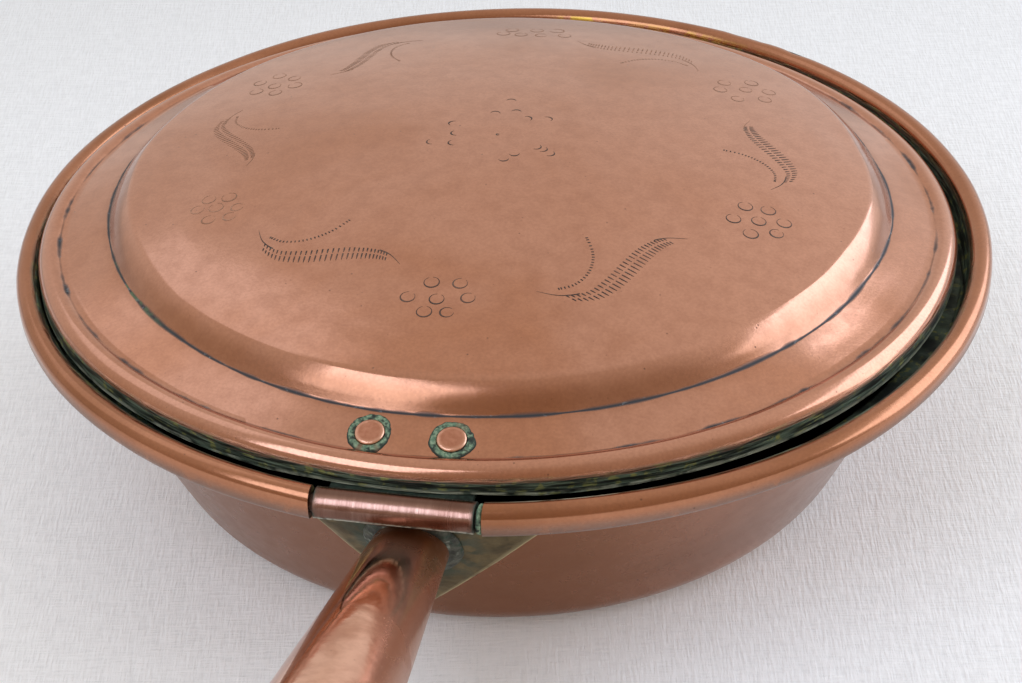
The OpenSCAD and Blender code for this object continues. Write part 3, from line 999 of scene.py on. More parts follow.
# How far the whole roll strays outward and its inner side inward, at an azimuth in degrees
RIM_WANDER = [
    (0, 0), (30, 0), (48, 0.45), (72, 0.45), (84, 0), (96, -0.25), (118, -0.55), (152, -0.5),
    (180, -0.3), (205, -0.45), (240, -0.45), (262, 0), (276, 0), (290, 0.4), (312, 0.45),
    (335, 0), (360, 0),
]
RIM_INWARD = [
    (0, 0), (14, 0), (22, 0.8), (52, 0.8), (76, 0), (288, 0), (302, 0.2), (318, 0.7),
    (338, 0.7), (346, 0), (360, 0),
]
RIM_DENTS = [(*around(azimuth, RIM_R - 1), hinge.z + 3) for azimuth in (148, 154, 157)]


def pan_outline():
    """The pan's section as (r, z): from the base's centre up the outside, over the rolled rim
    and down the inside, and the rows where the gap for the hinge is cut on each side."""
    half, stretch = BEAD_W / 2, (BEAD_H - BEAD_W) / 2
    outside = rounded(
        [(0, 0, 0), (BASE_R, 0, BASE_ROUND), (WALL_TOP_R, SEAT_Z, 1.2), (FLARE_R, SEAT_Z, 1.5)]
        + [(FLARE_END[0] - 0.9, FLARE_END[1] - 0.9, 0)]
    )
    outside = [p for p in filled(outside, 4) if p.y < CUT_Z - 0.2]
    outside.append(Vector((FLARE_R + CUT_Z - SEAT_Z, CUT_Z)))
    end_r, end_z = FLARE_END
    seam = [Vector((end_r - 0.6, end_z - 0.75)), Vector((end_r, end_z - 0.72))]
    rim = arc((WIRE_R, hinge.z - stretch), half - LIP, -86, -46, 8)
    rim += arc((WIRE_R, hinge.z - stretch), half, -45, 0, 5)
    rim += arc((WIRE_R, hinge.z + stretch), half, 0, 180)
    rim.append(Vector((WIRE_R - half, hinge.z - stretch)))
    inner_r = FLARE_R - FLARE_BACK
    lean = math.cos(math.atan(WALL_SLOPE))
    inside = rounded(
        [
            (inner_r + CUT_Z - SEAT_Z, CUT_Z, 0),
            (inner_r + PAN_T, SEAT_Z + PAN_T, 0.8),
            (WALL_TOP_R - PAN_T / lean + WALL_SLOPE * PAN_T, SEAT_Z + PAN_T, 1.6),
            (BASE_R - PAN_T / lean + WALL_SLOPE * PAN_T, PAN_T, BASE_ROUND - PAN_T),
            (0, PAN_T, 0),
        ]
    )
    outline = outside + seam + rim + filled(inside, 5)
    return outline, len(outside) - 1, len(outside) + len(seam) + len(rim)


def pan_angle(column, r):
    """The azimuth of a column of points at radius r; the first columns span the hinge's gap."""
    half = math.asin(GAP_HALF / max(r, FLARE_R))
    if column <= GAP_COLUMNS:
        return -half + 2 * half * column / GAP_COLUMNS
    share = (column - GAP_COLUMNS) / (PAN_COLUMNS - GAP_COLUMNS)
    return half + (2 * math.pi - 2 * half) * share


def rolled(p, azimuth):
    """A point of the rim's section. The roll stands full beside the hinge and is hammered
    lower and slimmer round the rest of the pan."""
    across, down, lower = LOW_RIM
    out = between(RIM_WANDER, azimuth % 360)
    out -= between(RIM_INWARD, azimuth % 360) * rise(WIRE_R - p.x, 0, BEAD_W / 2)
    low = Vector((WIRE_R + (p.x - WIRE_R) * across + out, hinge.z + lower + (p.y - hinge.z) * down))
    share = rise(180 - abs(180 - azimuth % 360), 15, 52)
    return p.lerp(low, share * share * (3 - 2 * share))


def pan_surface(p):
    """A point of the pan made a little uneven, as raised by hand, with small dents in the rim."""
    flat = Vector((p.x, p.y, 0))
    if flat.length < 1:
        return p
    out = flat.normalized()
    free = rise(abs(p.x), GAP_HALF, GAP_HALF + 14) if p.y < 0 else 1
    wall = rise(p.z, 4, 24) * (1 - 0.8 * bump(p.z, SEAT_Z + 1, 6))
    rim = rise(p.z, CUT_Z, CUT_Z + 2)
    push = 0.3 * chance(p, 52, 3) + 0.07 * chance(p, 17, 8)
    lift = 0.22 * chance(p, 46, 5) * rim * free
    dents = 0.3 * rim * sum(bump((p - Vector(dent)).length, 0, 6) for dent in RIM_DENTS)
    return p + out * push * wall * free + UP * (lift - dents)


def make_pan():
    """The pan in columns round its axis, with the rolled rim left out where the hinge turns. The
    shares say where it is worn, tarnished, browned below the roll (thinned on the right as
    painted light), dulled by dust and a painted reflection of the floor on the roll's lower
    outside, and grimy, limed or brassy in the gap beside the lid, the seat and the roll's inner
    side blackened there as painted shade with the grime."""
    outline, cut_out, cut_in = pan_outline()
    rows = len(outline)
    points = []
    for column in range(PAN_COLUMNS):
        for row, p in enumerate(outline):
            azimuth = math.degrees(pan_angle(column, p.x))
            if cut_out < row < cut_in:
                p = rolled(p, azimuth)
            points.append(pan_surface(Vector((*around(azimuth, p.x), p.y))))

    def at(column, row):
        return column % PAN_COLUMNS * rows + row

    faces = []
    kinds = []
    for column in range(PAN_COLUMNS):
        in_gap = column < GAP_COLUMNS
        cut = range(cut_out, cut_in) if in_gap else ()
        steps = [(row, row + 1) for row in range(rows - 1) if row not in cut]
        if in_gap:
            steps.append((cut_out, cut_in))
        for here, there in steps:
            sides = ((column, here), (column + 1, here), (column + 1, there), (column, there))
            faces.append([at(*corner) for corner in sides])
            kinds.append(int(here > cut_in and outline[there % rows].y < SEAT_Z + 1))
    for column in (0, GAP_COLUMNS):
        faces.append([at(column, row) for row in range(cut_out, cut_in + 1)])
        kinds.append(0)
    lip_row = cut_out + 9
    shares = {share: [] for share in ("worn", "tarnish", "dust_and_reflection")}
    grime = []
    for row, p in enumerate(outline):
        # The flare's inside, from the roll down to the seat, is blackened: painted shade in the gap
        # under the lid, with grime.
        seat_grime_and_shade = rise(row, cut_in - 5, cut_in) * rise(p.y, SEAT_Z - 6, SEAT_Z)
        grime.append(max(seat_grime_and_shade, 0.9 * bump(row, cut_out + 1.5, 2)))
        # The roll's lower half outside is greyed: dust, and a painted reflection of the floor.
        lower = 1 - rise(p.y, hinge.z - 0.8, hinge.z + 0.8)
        shares["dust_and_reflection"].append(0.85 * (cut_out <= row < cut_in) * lower)
        crest = 0.5 * bump(p.y, hinge.z + 3, 6) * (row < cut_in - 3)
        shares["worn"].append(max(crest, float(row == lip_row)))
        lip = 0.8 * (row == lip_row - 1) + 0.5 * (row == lip_row + 1)
        shares["tarnish"].append(max(0.7 * bump(row, cut_out - 1, 5), lip))
    shares = {share: values * PAN_COLUMNS for share, values in shares.items()}
    azimuths = [math.degrees(pan_angle(column, WIRE_R)) for column in range(PAN_COLUMNS)]
    fronts = [1 - rise(180 - abs(180 - azimuth % 360), 70, 100) for azimuth in azimuths]
    inner_roll_grime_and_shade = [rise(row, cut_in - 13, cut_in - 9) * (row <= cut_in) for row in range(rows)]
    # At the front the roll's inner side is blackened too: painted shade in the gap, with green
    # grime.
    shares["grime"] = [
        max(dirt, 0.8 * front * edge) for front in fronts for dirt, edge in zip(grime, inner_roll_grime_and_shade)
    ]
    shares["limed"] = [
        bump(azimuth, 18, 14) * bump(row, cut_in - 11, 2)
        for azimuth in azimuths
        for row in range(rows)
    ]
    # Browned tarnish on the outside below the roll, thinned round 56 degrees on the right: painted
    # light where the window falls on the wall.
    shares["browned"] = [
        (row < cut_out - 1) * (0.95 - 0.75 * bump(azimuth, 56, 38))
        for azimuth in azimuths
        for row in range(rows)
    ]
    shares["brassy"] = [
        bump(row, cut_in - 4, 5) * max(1.6 * bump(azimuth, 180, 5), 0.7 * bump(azimuth, 163, 15))
        for azimuth in azimuths
        for row in range(rows)
    ]
    sheet = points, faces
    materials = [pan_copper, pan_inside]
    new_piece("pan_copper_sheet", sheet, materials, "pan", "pan_bowl", shares, kinds)


# ---- Lid ------------------------------------------------------------------------------------

LID_COLUMNS = 360
EDGE_ROUND = 4.2
SKIRT_H = 3.2
SKIRT_DROP = 0.8
# How far the dome's foot and the lid's edge stray outward, at an azimuth in degrees
FOOT_WANDER = [
    (-180, 0), (-90, 0), (-62, -0.8), (-38, -0.9), (-12, 0.7), (24, 0.6), (58, -0.8), (74, -1),
    (90, 0), (110, -1.1), (130, 0), (180, 0),
]
EDGE_WANDER = [
    (-180, 0), (-106, 0), (-86, 1), (-70, 1.6), (-52, 1.4), (-34, 0.4), (-20, 0), (92, 0),
    (108, -0.7), (124, -1.5), (138, -1.7), (152, -1.4), (168, -0.4), (180, 0),
]
# Azimuths of the dark dashes in the flange's crease
CREASE_DASHES = [
    -104, -92, -81, -71, -61, -50, -39, -27, -15,
    15, 27, 38, 48, 62, 70, 80, 90, 101, 112, 121, 131,
]


def crown_height(r):
    """Height of the lid's crown above its skirt's lower edge, before it is uneven."""
    return SHOULDER[1] + CROWN_RISE * (1 - (r / SHOULDER[0]) ** 2)


def lid_surface(p):
    """A point of the lid made a little uneven, as raised by hand, in the lid's own frame. Inside
    the ring of ornament it moves only up or down. The skirt stands a little lower on each side
    of the strap."""
    r = p.xy.length
    flat = Vector((p.x, p.y, 0))
    edge = rise(r, CREASE[0], CREASE[0] + 3)
    crown = 1 - rise(r, SHOULDER[0] - 4, FOOT[0])
    lift = crown * (0.34 * chance(flat, 74, 1) + 0.12 * chance(flat, 28, 2))
    lift += (1 - edge) * (0.05 * chance(flat, 13, 4) + (1 - crown) * 0.2 * chance(flat, 50, 9))
    azimuth = math.degrees(math.atan2(p.x, -p.y))
    wander = between(FOOT_WANDER, azimuth) * rise(r, CREASE[0], CREASE[0] - 6)
    wander += between(EDGE_WANDER, azimuth) * rise(r, FOOT[0] + 1, CREASE[0])
    skirt = rise(r, LID_R - 3, LID_R - 2) * rise(SKIRT_H - p.z, 0, SKIRT_H)
    beside_strap = rise(abs(azimuth), 9, 16) * (1 - rise(abs(azimuth), 60, 90))
    lift -= SKIRT_DROP * skirt * beside_strap
    push = (1 - edge) * (0.5 * chance(flat, 60, 6) + 0.16 * chance(flat, 21, 7)) + wander
    return p + UP * lift + flat / max(r, 1) * push * rise(r, 97, 106)


def lid_outline():
    """The lid's section from the crown's centre over the edge to the skirt and back inside, and
    the number of points on the outside."""
    steps = 44
    crown = [SHOULDER[0] * i / steps for i in range(steps)]
    corners = [(r, crown_height(r), 0) for r in crown]
    hollow = (SHOULDER[0] + 3.65, SHOULDER[1] - 3.06, 18)
    corners += [(*SHOULDER, 4), hollow, (*FOOT, 1.6), (*CREASE, 0)]
    turn = math.degrees(math.acos((EDGE_ROUND - LID_R + CREASE[0]) / EDGE_ROUND))
    outside = filled(rounded(corners, math.radians(5)), 2.4)
    outside += arc((LID_R - EDGE_ROUND, SKIRT_H), EDGE_ROUND, turn, 0)[1:]
    outside += [Vector((LID_R, z)) for z in (SKIRT_H * 0.66, SKIRT_H * 0.33, 0.45, 0)]
    inside = offset(outside, -LID_T)
    return outside + inside[::-1], len(outside)


def make_lid():
    """The lid in columns round its own axis. The shares say where it is worn, browned (partly
    painted shade, above the dome's foot), grimy or limed, where tarnish dashes its crease and
    greens its foot, and how far out a point lies."""
    outline, outer = lid_outline()

    def shape(r, a, z, row):
        return lid_place @ lid_surface(Vector((r * math.sin(a), -r * math.cos(a), z)))

    shares = {"grime": [], "worn": [], "radius": [], "browned": [], "limed": []}
    for row, p in enumerate(outline):
        outside = row < outer
        skirt = rise(-p.y, -SKIRT_H - 1.9, -SKIRT_H + 0.4) if p.x > LID_R - 2 else 0
        shares["grime"].append(skirt if outside else 0.6)
        rubbed = bump(p.x, LID_R - 2.8, 3) + 0.6 * bump(p.x, SHOULDER[0] + 0.5, 3)
        shares["worn"].append(outside * rubbed)
        shares["radius"].append(outside * p.x / LID_REACH)
        # A browned band on the lower bevel just above the dome's foot: tarnish, and painted shade
        # on the bevel's lower part.
        shares["browned"].append(0.45 * outside * bump(p.x, FOOT[0] - 1.5, 5))
        shares["limed"].append(float(row in (outer - 1, outer - 2)))
    shares = {share: values * LID_COLUMNS for share, values in shares.items()}
    azimuths = [360 * column / LID_COLUMNS for column in range(LID_COLUMNS) for _ in outline]
    shares["dashed"] = [
        min(1, 1.7 * max(bump(apart(azimuth, dash), 0, 4.2) for dash in CREASE_DASHES))
        for azimuth in azimuths
    ]
    shares["greened"] = [bump(apart(azimuth, -52), 0, 14) for azimuth in azimuths]
    kinds = [int(row >= outer) for row in range(len(outline))] * LID_COLUMNS
    sheet = lathe(outline, LID_COLUMNS, shape)
    materials = [lid_copper, lid_inside]
    new_piece("lid_copper_sheet", sheet, materials, "lid", "lid", shares, kinds)


# ---- Punched ornament -----------------------------------------------------------------------

# A mark's width, and flat places on the crown, in millimetres from its centre: each flower's
# seven ring marks, the two ends of each spray, and the arcs of the middle motif with the way that
# each one faces. Marks further back than WORN_FROM_Y are worn thin.
MARK_W = 0.36
PUNCH_CENTRE = Vector((-0.4, 0.1))
FLOWERS = [
    [(-2.8, -75.5), (5, -75), (-8, -82), (0, -82), (8.3, -80.5), (-2.3, -87.3), (3.8, -86.8)],
    [(76, -20), (82.5, -19.5), (87.5, -24), (73.5, -27.5), (80.5, -26), (86, -30), (79, -33)],
    [(68.5, 64), (60.5, 59.5), (74.5, 59), (60, 53), (74, 52), (66, 48), (67.5, 57)],
    [(-13, 90), (1.5, 92), (-9, 84.5), (-2.5, 85), (-5, 91), (5, 86.5), (-15, 85)],
    [(-79, 37), (-85, 41), (-74, 42.5), (-72, 36), (-77, 31), (-84, 33.5), (-80, 46)],
    [
        (-77.5, -37.5), (-71.5, -37), (-79.5, -42.5), (-74, -42), (-67.5, -42.5), (-74.5, -48),
        (-68.5, -47),
    ],
]
SPRAYS = [
    ((-57.5, -54.5), (-13, -68.5)),
    ((26, -75), (62, -41.5)),
    ((82, -8), (71, 33)),
    ((51.5, 66), (10, 81)),
    ((-40, 76), (-62, 43)),
    ((-84, 19), (-71, -20)),
]
WORN_FROM_Y = 28
# A spray's spine and its dotted curve, as (along, out) from its start
SPINE = [
    (0, 0), (4.5, 4.6), (11, 6.8), (18, 5), (25, 1.7), (32, -1.4), (38, -2.8), (43, -2.2),
    (48, 0.5),
]
COMPANION = [(5.5, 2.2), (10, 2.9), (15, 1.2), (19, -2.2), (21.8, -6.5), (23.6, -12)]
CENTRE_MARKS = [
    (0, 22.5, 90), (-3, 13, 90), (3, 15, 90), (7, 11, 42), (13, 12, 42), (13, -6, -28),
    (15, -7, -28), (17.5, -9, -28), (7.5, -11, -70), (5, -14.5, -70), (-18, -7, 205),
    (-11.5, -7, 205), (-12, -1, 205), (-14, 5, 160),
]


def curve_point(points, share):
    """A point on the smooth curve through some points, at a share of the way along them."""
    place = share * (len(points) - 1)
    i = min(int(place), len(points) - 2)
    t = place - i
    a, b, c, d = (Vector(points[min(max(k, 0), len(points) - 1)]) for k in range(i - 1, i + 3))
    square = (2 * a - 5 * b + 4 * c - d) * t**2
    cube = (3 * b - a - 3 * c + d) * t**3
    return 0.5 * (2 * b + (c - a) * t + square + cube)


def on_crown(flat, lift):
    """A point on the lid's crown at a flat place from its centre, lifted off the sheet."""
    p = lid_surface(Vector((*flat, crown_height(flat.length))))
    return lid_place @ (p + UP * lift)


def mark(path, widths):
    """One punched mark along a path, its edges just proud of the sheet."""
    points = []
    for i, here in enumerate(path):
        along = (path[min(i + 1, len(path) - 1)] - path[max(i - 1, 0)]).normalized()
        side = Vector((-along.y, along.x)) * widths[i] / 2
        points += [on_crown(here + side, 0.03), on_crown(here, 0.06), on_crown(here - side, 0.03)]
    faces = []
    for a in range(0, 3 * (len(path) - 1), 3):
        faces += [(a, a + 3, a + 4, a + 1), (a + 1, a + 4, a + 5, a + 2)]
    return points, faces


def ring_mark(centre, radius, start, sweep):
    """One blow of a ring punch, drawn widest and darkest in the middle of its sweep."""
    path = arc(centre, radius, start, start + sweep, 12)
    last = len(path) - 1
    widths = [MARK_W * (0.3 + 1.1 * math.sin(math.pi * i / last) ** 2) for i in range(last + 1)]
    return mark(path, widths)


def flower(rings):
    """Six ring-punch blows round a seventh, none of them struck quite square. Each one's widest,
    darkest part mostly faces the front, as painted shade on the groove's near side.
    """
    marks = []
    for x, y in rings:
        tilt = noise.noise(Vector((x, y, 1.3)))
        sweep = 318 + 50 * noise.noise(Vector((y, x, 4.1)))
        centre = PUNCH_CENTRE + Vector((x, y))
        marks.append(ring_mark(centre, 2.05 + 0.3 * tilt, 110 + 90 * tilt, sweep))
    return marks


def spray(start, end):
    """A feather of two rows of chisel nicks, drawn to a line at both ends, with a dotted curve."""
    reach = Vector(end) - Vector(start)
    along = reach / SPINE[-1][0]
    out = Vector((along.y, -along.x))

    def place(p):
        return PUNCH_CENTRE + Vector(start) + along * p[0] + out * p[1]

    marks = []
    spine = [place(curve_point(SPINE, i / 60)) for i in range(61)]
    for path in (spine[:14], spine[:46:-1]):
        last = len(path) - 1
        marks.append(mark(path, [MARK_W * (0.2 + 1.0 * i / last) for i in range(last + 1)]))
    lean = Vector((0.38, 1)).normalized()
    for k in range(29):
        share = 0.15 + 0.7 * k / 28
        swell = math.sin(math.pi * rise(share, 0.08, 0.92))
        shake = 0.14 * noise.noise(Vector((start[0], k, 0)))
        for gap, length in ((0.1, 0.9 + 1.1 * swell), (1.9 + 0.8 * swell, 0.8 + 2.1 * swell)):
            root = Vector(curve_point(SPINE, share)) + lean * (gap + shake)
            path = [place(root + lean * length * t) for t in (0, 0.5, 1)]
            marks.append(mark(path, [MARK_W * w for w in (1.1, 1.2, 0.5)]))
    for k in range(24):
        here, there = (curve_point(COMPANION, min(max((k + step) / 23, 0), 1)) for step in (-1, 1))
        across = Vector((there.y - here.y, here.x - there.x)).normalized()
        middle = curve_point(COMPANION, k / 23)
        path = [place(middle + across * t) for t in (-0.4, 0, 0.4)]
        marks.append(mark(path, [MARK_W, MARK_W * 1.2, MARK_W]))
    return marks


def make_ornament():
    """Six flowers and six sprays round a middle motif, worn thin at the back and the left."""
    marks = [ring_mark(PUNCH_CENTRE + Vector((0.5, -0.5)), 0.4, 0, 360)]
    for rings in FLOWERS:
        marks += flower(rings)
    for start, end in SPRAYS:
        marks += spray(start, end)
    for x, y, angle in CENTRE_MARKS:
        marks.append(ring_mark(PUNCH_CENTRE + Vector((x, y)), 1.5, angle - 80, 160))
    kinds = []
    for points, faces in marks:
        middle = lid_place.inverted() @ points[0]
        kinds += [int(middle.y > WORN_FROM_Y or middle.x < -66)] * len(faces)
    grooves = [groove, worn_groove]
    new_piece("punched_ornament", joined(marks), grooves, "lid", kinds=kinds)


# ---- Rivets ---------------------------------------------------------------------------------

# Sections as (radius, height) above the flange
RIVET_HEAD = [
    (0, 0.96), (1.6, 0.97), (2.7, 0.93), (3.3, 0.9), (3.7, 0.78), (3.93, 0.5), (3.95, 0.15),
    (3.8, 0.05),
]
RIVET_TAIL = [(2.2, 0), (2.2, -3.2), (3.2, -3.3), (3.5, -3.7), (3.2, -4.4), (2, -4.65), (0, -4.7)]
CRUST = [
    (3.9, 0.05), (4.2, 0.3), (4.8, 0.38), (5.4, 0.3), (5.8, 0.12), (6.05, 0), (6.05, -0.2),
    (3.9, -0.2),
]


def rivet_places():
    """Each rivet's frame: its origin on the flange's upper surface, +Z square to it."""
    height = CREASE[1] + (CREASE[0] - RIVET_R) * math.tan(FLANGE_ANGLE)
    places = []
    for side in (-1, 1):
        turn = math.asin((side * RIVET_HALF_PITCH - LID_SHIFT.x) / RIVET_R)
        places.append(
            lid_place
            @ Matrix.Rotation(turn, 4, "Z")
            @ Matrix.Translation((0, -RIVET_R, height))
            @ Matrix.Rotation(FLANGE_ANGLE, 4, "X")
        )
    return places


def make_rivets():
    """Two rivets, each a beaten head, a shank and a spread tail under the strap."""
    columns = 40
    profile = RIVET_HEAD + RIVET_TAIL
    parts = []
    for number, place in enumerate(rivet_places()):

        def shape(r, a, z, row):
            side = Vector((math.cos(a), math.sin(a), 0))
            uneven = 1 + 0.03 * chance(side, 0.9, number * 5)
            beat = 0.06 * chance(side * r, 2.2, number * 9) if row < 4 else 0
            return place @ (side * r * uneven + UP * (z + beat))

        parts.append(lathe(profile, columns, shape))
    worn = [bump(r, 3.75, 0.7) * (z > 0.2) for r, z in profile] * columns * 2
    shares = {"worn": worn}
    made = joined(parts)
    new_piece("beaten_rivets", made, [rivet_copper], "lid", "lid_rivets", shares)


def make_rivet_crusts():
    """Verdigris grown in a ragged ring round each rivet's head."""
    columns = 72
    parts = []
    worn = []
    for number, place in enumerate(rivet_places()):

        def shape(r, a, z, row):
            side = Vector((math.cos(a), math.sin(a), 0))
            reach = 1 + 0.09 * chance(side, 0.7, number * 7) + 0.06 * chance(side, 0.22, number * 7)
            lump = 0.12 * chance(side * r, 0.9, number * 4) if 0 < row < 5 else 0
            worn.append(2 * chance(side, 0.5, number * 7) - 0.5 if row < 6 else 0)
            return place @ (side * r * (reach if 1 < row < 7 else 1) + UP * (z + lump))

        parts.append(lathe(CRUST, columns, shape))
    bed = [float(row in (0, 4, 5, 6)) for row in range(len(CRUST))] * columns * 2
    made = joined(parts)
    shares = {"worn": worn, "bed": bed}
    new_piece("rivet_verdigris", made, [verdigris], "lid", shares=shares)


# ---- Hinge strap ----------------------------------------------------------------------------

# The outer turn's two ends round the wire, in degrees from the front, upward
STRAP_START = 152
STRAP_END = -33


def make_strap():
    """The strap: a knuckle rolled round the wire, lapped by an outer turn with a ragged end
    below, and a leaf that passes under the skirt and lies against the flange."""
    left, right = strap_low.x, strap_high.x
    core_r = KNUCKLE_R - 0.55
    stations = [left + (right - left) * i / 56 for i in range(57)]
    lay = Matrix.Rotation(math.pi / 2, 4, "Y")

    def turned(r, a, x, row):
        return hinge_place @ lay @ Vector((r * math.cos(a), r * math.sin(a), x))

    bore = PIN_R + 0.06
    core = lathe([(bore, left), (core_r, left), (core_r, right), (bore, right)], 48, turned)
    loops = []
    for x in stations:
        along = Vector((x, 0, 0))
        ragged = 3 * chance(along, 5, 1) + 2 * chance(along, 1.4, 3)
        outer_r = KNUCKLE_R + 0.06 * chance(along, 16, 7)
        turn = STRAP_START - STRAP_END - ragged
        front = arc((0, 0), outer_r, STRAP_START, STRAP_START - turn, turn / 32)
        back = arc((0, 0), core_r - 0.1, STRAP_START - turn, STRAP_START, turn / 32)
        loops.append([hinge_place @ Vector((x, -p.x, p.y)) for p in front + back])
    wrap = swept(loops)

    drop = LID_T + 0.05
    level = -0.3
    cosine, sine = math.cos(FLANGE_ANGLE), math.sin(FLANGE_ANGLE)
    start_r = LID_SHIFT.y - hinge.y - 2.9
    upper = rounded(
        [
            (start_r, level, 0),
            (LID_R - 3.2, level, 1),
            (CREASE[0] - drop * sine / cosine - 0.8 * cosine, CREASE[1] - drop + 0.8 * sine, 2),
            (FOOT[0] - drop * sine + 1.2, FOOT[1] - drop * cosine - 0.5, 0),
        ],
        math.radians(15),
    )
    upper = filled(upper, 2)
    grids = []
    for path in (upper, offset(upper, STRAP_T)):
        grid = []
        for p in path:
            row = []
            for i in range(25):
                x = -STRAP_HALF + STRAP_HALF * i / 12 - LID_SHIFT.x
                straight = rise(p.x, LID_R - 3.2, start_r - 0.5)
                y = math.sqrt(p.x**2 - x**2) * (1 - straight) + p.x * straight
                row.append(lid_place @ Vector((x, -y, p.y)))
            grid.append(row)
        grids.append(grid)
    leaf = slab(*grids)

    made = joined([core, wrap, leaf])
    grime = [0.9] * len(core[0])
    worn = [0] * len(core[0])
    browned = [0] * len(core[0])
    for loop in loops:
        x = (hinge_place.inverted() @ loop[0]).x
        ends = 0.8 * max(bump(x, left, 1.2), bump(x, right, 1.2))
        half = len(loop) / 2
        for i in range(len(loop)):
            # Blackened at the knuckle's top, where the turn runs up under the lid's skirt: painted
            # shade. The salts at the ragged end and the dark ends are grime.
            grime.append(max(ends, 0.9 * bump(i, half - 1, 3), 0.9 * bump(i, 0, 8)))
            worn.append(bump(i, half - 0.5, 3))
            # Dark brown all round the knuckle except a band about the 19th point of each turn,
            # where the lamp's reflection falls: painted shade above and below that band.
            browned.append(1 - bump(i, 19, 6))
    # The leaf is blackened and browned all over: painted shade where it shows in the gap under the
    # skirt, with grime.
    grime += [1] * len(leaf[0])
    worn += [0] * len(leaf[0])
    browned += [1] * len(leaf[0])
    shares = {"grime": grime, "worn": worn, "browned": browned}
    name = "rolled_hinge_strap"
    new_piece(name, made, [strap_copper], "lid", "hinge_strap", shares, sharp=40)


# Section of the salts as (radius about the wire, x)
GAP_CRUST = [
    (2.44, 20.95), (3.3, 20.95), (3.85, 21.2), (4, 21.6), (3.9, 22.05), (3.4, 22.35),
    (2.44, 22.4),
]


def make_gap_crust():
    """Salts packed round the bare wire in the gap beside the knuckle, on its right."""

    def turned(r, a, x, row):
        side = Vector((0, math.cos(a), math.sin(a)))
        lump = 0.22 * chance(side * r, 1.6, 2) + 0.12 * chance(side * r, 0.6, 5)
        if not 0 < row < 6:
            lump = 0
        return hinge + side * (r + lump) + Vector((x + 0.12 * chance(side, 0.5, 9), 0, 0))

    made = lathe(GAP_CRUST, 56, turned)
    new_piece("gap_salts", made, [verdigris], "pan")


# ---- Back plate, solder and socket ----------------------------------------------------------

WALL_ANGLE = math.atan(WALL_SLOPE)
CONTACT = 0.05
PLATE_POINT = -2
TAPER = (SOCKET_MOUTH_R - SOCKET_ROOT_R) / SOCKET_L
# Section of the solder as (distance outside the socket, height over the plate)
SOLDER = [
    (0.02, 1.9), (0.7, 1.75), (1.7, 1.45), (2.7, 0.95), (3.25, 0.45), (3.45, 0.02), (3, -0.03),
    (0.02, -0.03),
]


def on_wall(x, z, off):
    """A point of the front wall at x and z, a distance off the pan's sheet."""
    r = BASE_R + WALL_SLOPE * z + off / math.cos(WALL_ANGLE)
    return Vector((x, -math.sqrt(r**2 - x**2), z))


def make_back_plate():
    """A three-cornered brass plate bent to the wall, its edges filed by hand and rubbed bright."""
    down = [0, 0.005, 0.015, 0.03] + list(np.linspace(0.06, 0.97, 24)) + [0.985, 1]
    across = [0, 0.008, 0.02] + list(np.linspace(0.05, 0.95, 25)) + [0.98, 0.992, 1]
    front = []
    back = []
    worn = []
    grime = []
    for v in down:
        z = plate_high.z + (plate_low.z - plate_high.z) * v
        left = plate_low.x + (PLATE_POINT - plate_low.x) * v
        right = plate_high.x + (PLATE_POINT - plate_high.x) * v
        left += 0.3 * chance(Vector((0, 0, z)), 9, 2) * v * (1 - v) * 4
        right += 0.3 * chance(Vector((0, 0, z)), 9, 6) * v * (1 - v) * 4
        front.append([])
        back.append([])
        for u in across:
            x = left + (right - left) * u
            edge = min(x - left, right - x, (plate_high.z - z) * 0.9)
            off = CONTACT + PLATE_T - 0.1 - 0.4 * bump(edge, 0, 0.7)
            front[-1].append(on_wall(x, z, off))
            back[-1].append(on_wall(x, z, CONTACT))
            worn.append(bump(edge, 0, 1.5))
            near = math.hypot(x, z - SOCKET_Z) - SOCKET_ROOT_R
            grime.append(bump(near, 2, 11))
    shares = {"worn": worn * 2, "grime": grime * 2}
    made = slab(front, back)
    new_piece("back_plate_sheet", made, [plate_brass], "pan", "back_plate", shares)


def along_socket(extra, a, off):
    """The distance along the socket's axis, and the radius, where a surface off the pan's wall
    meets a line that lies `extra` outside the socket at angle a."""
    s = 0.0
    for _ in range(12):
        r = SOCKET_ROOT_R + TAPER * s + extra
        p = socket_place @ Vector((r * math.cos(a), r * math.sin(a), s))
        gap = (p.xy.length - BASE_R - WALL_SLOPE * p.z) * math.cos(WALL_ANGLE) - off
        s -= gap
    return s, r


def make_solder():
    """The solder run round the socket's root, lumpy as it set."""

    def shape(extra, a, lift, row):
        side = Vector((math.cos(a), math.sin(a), 0))
        lump = 0.3 * chance(side, 0.6, 2) + 0.16 * chance(side * (5 + row), 1.3, 4)
        if not 0 < row < 5:
            lump = 0
        wide = extra * (1 + 0.14 * chance(side, 0.45, 8)) if 1 < row < 7 else extra
        s, r = along_socket(wide, a, PLATE_T + max(lift + lump, -0.03))
        return socket_place @ (side * r + UP * s)

    made = lathe(SOLDER, 96, shape)
    new_piece("lumpy_solder", made, [solder], "pan", "socket_solder")


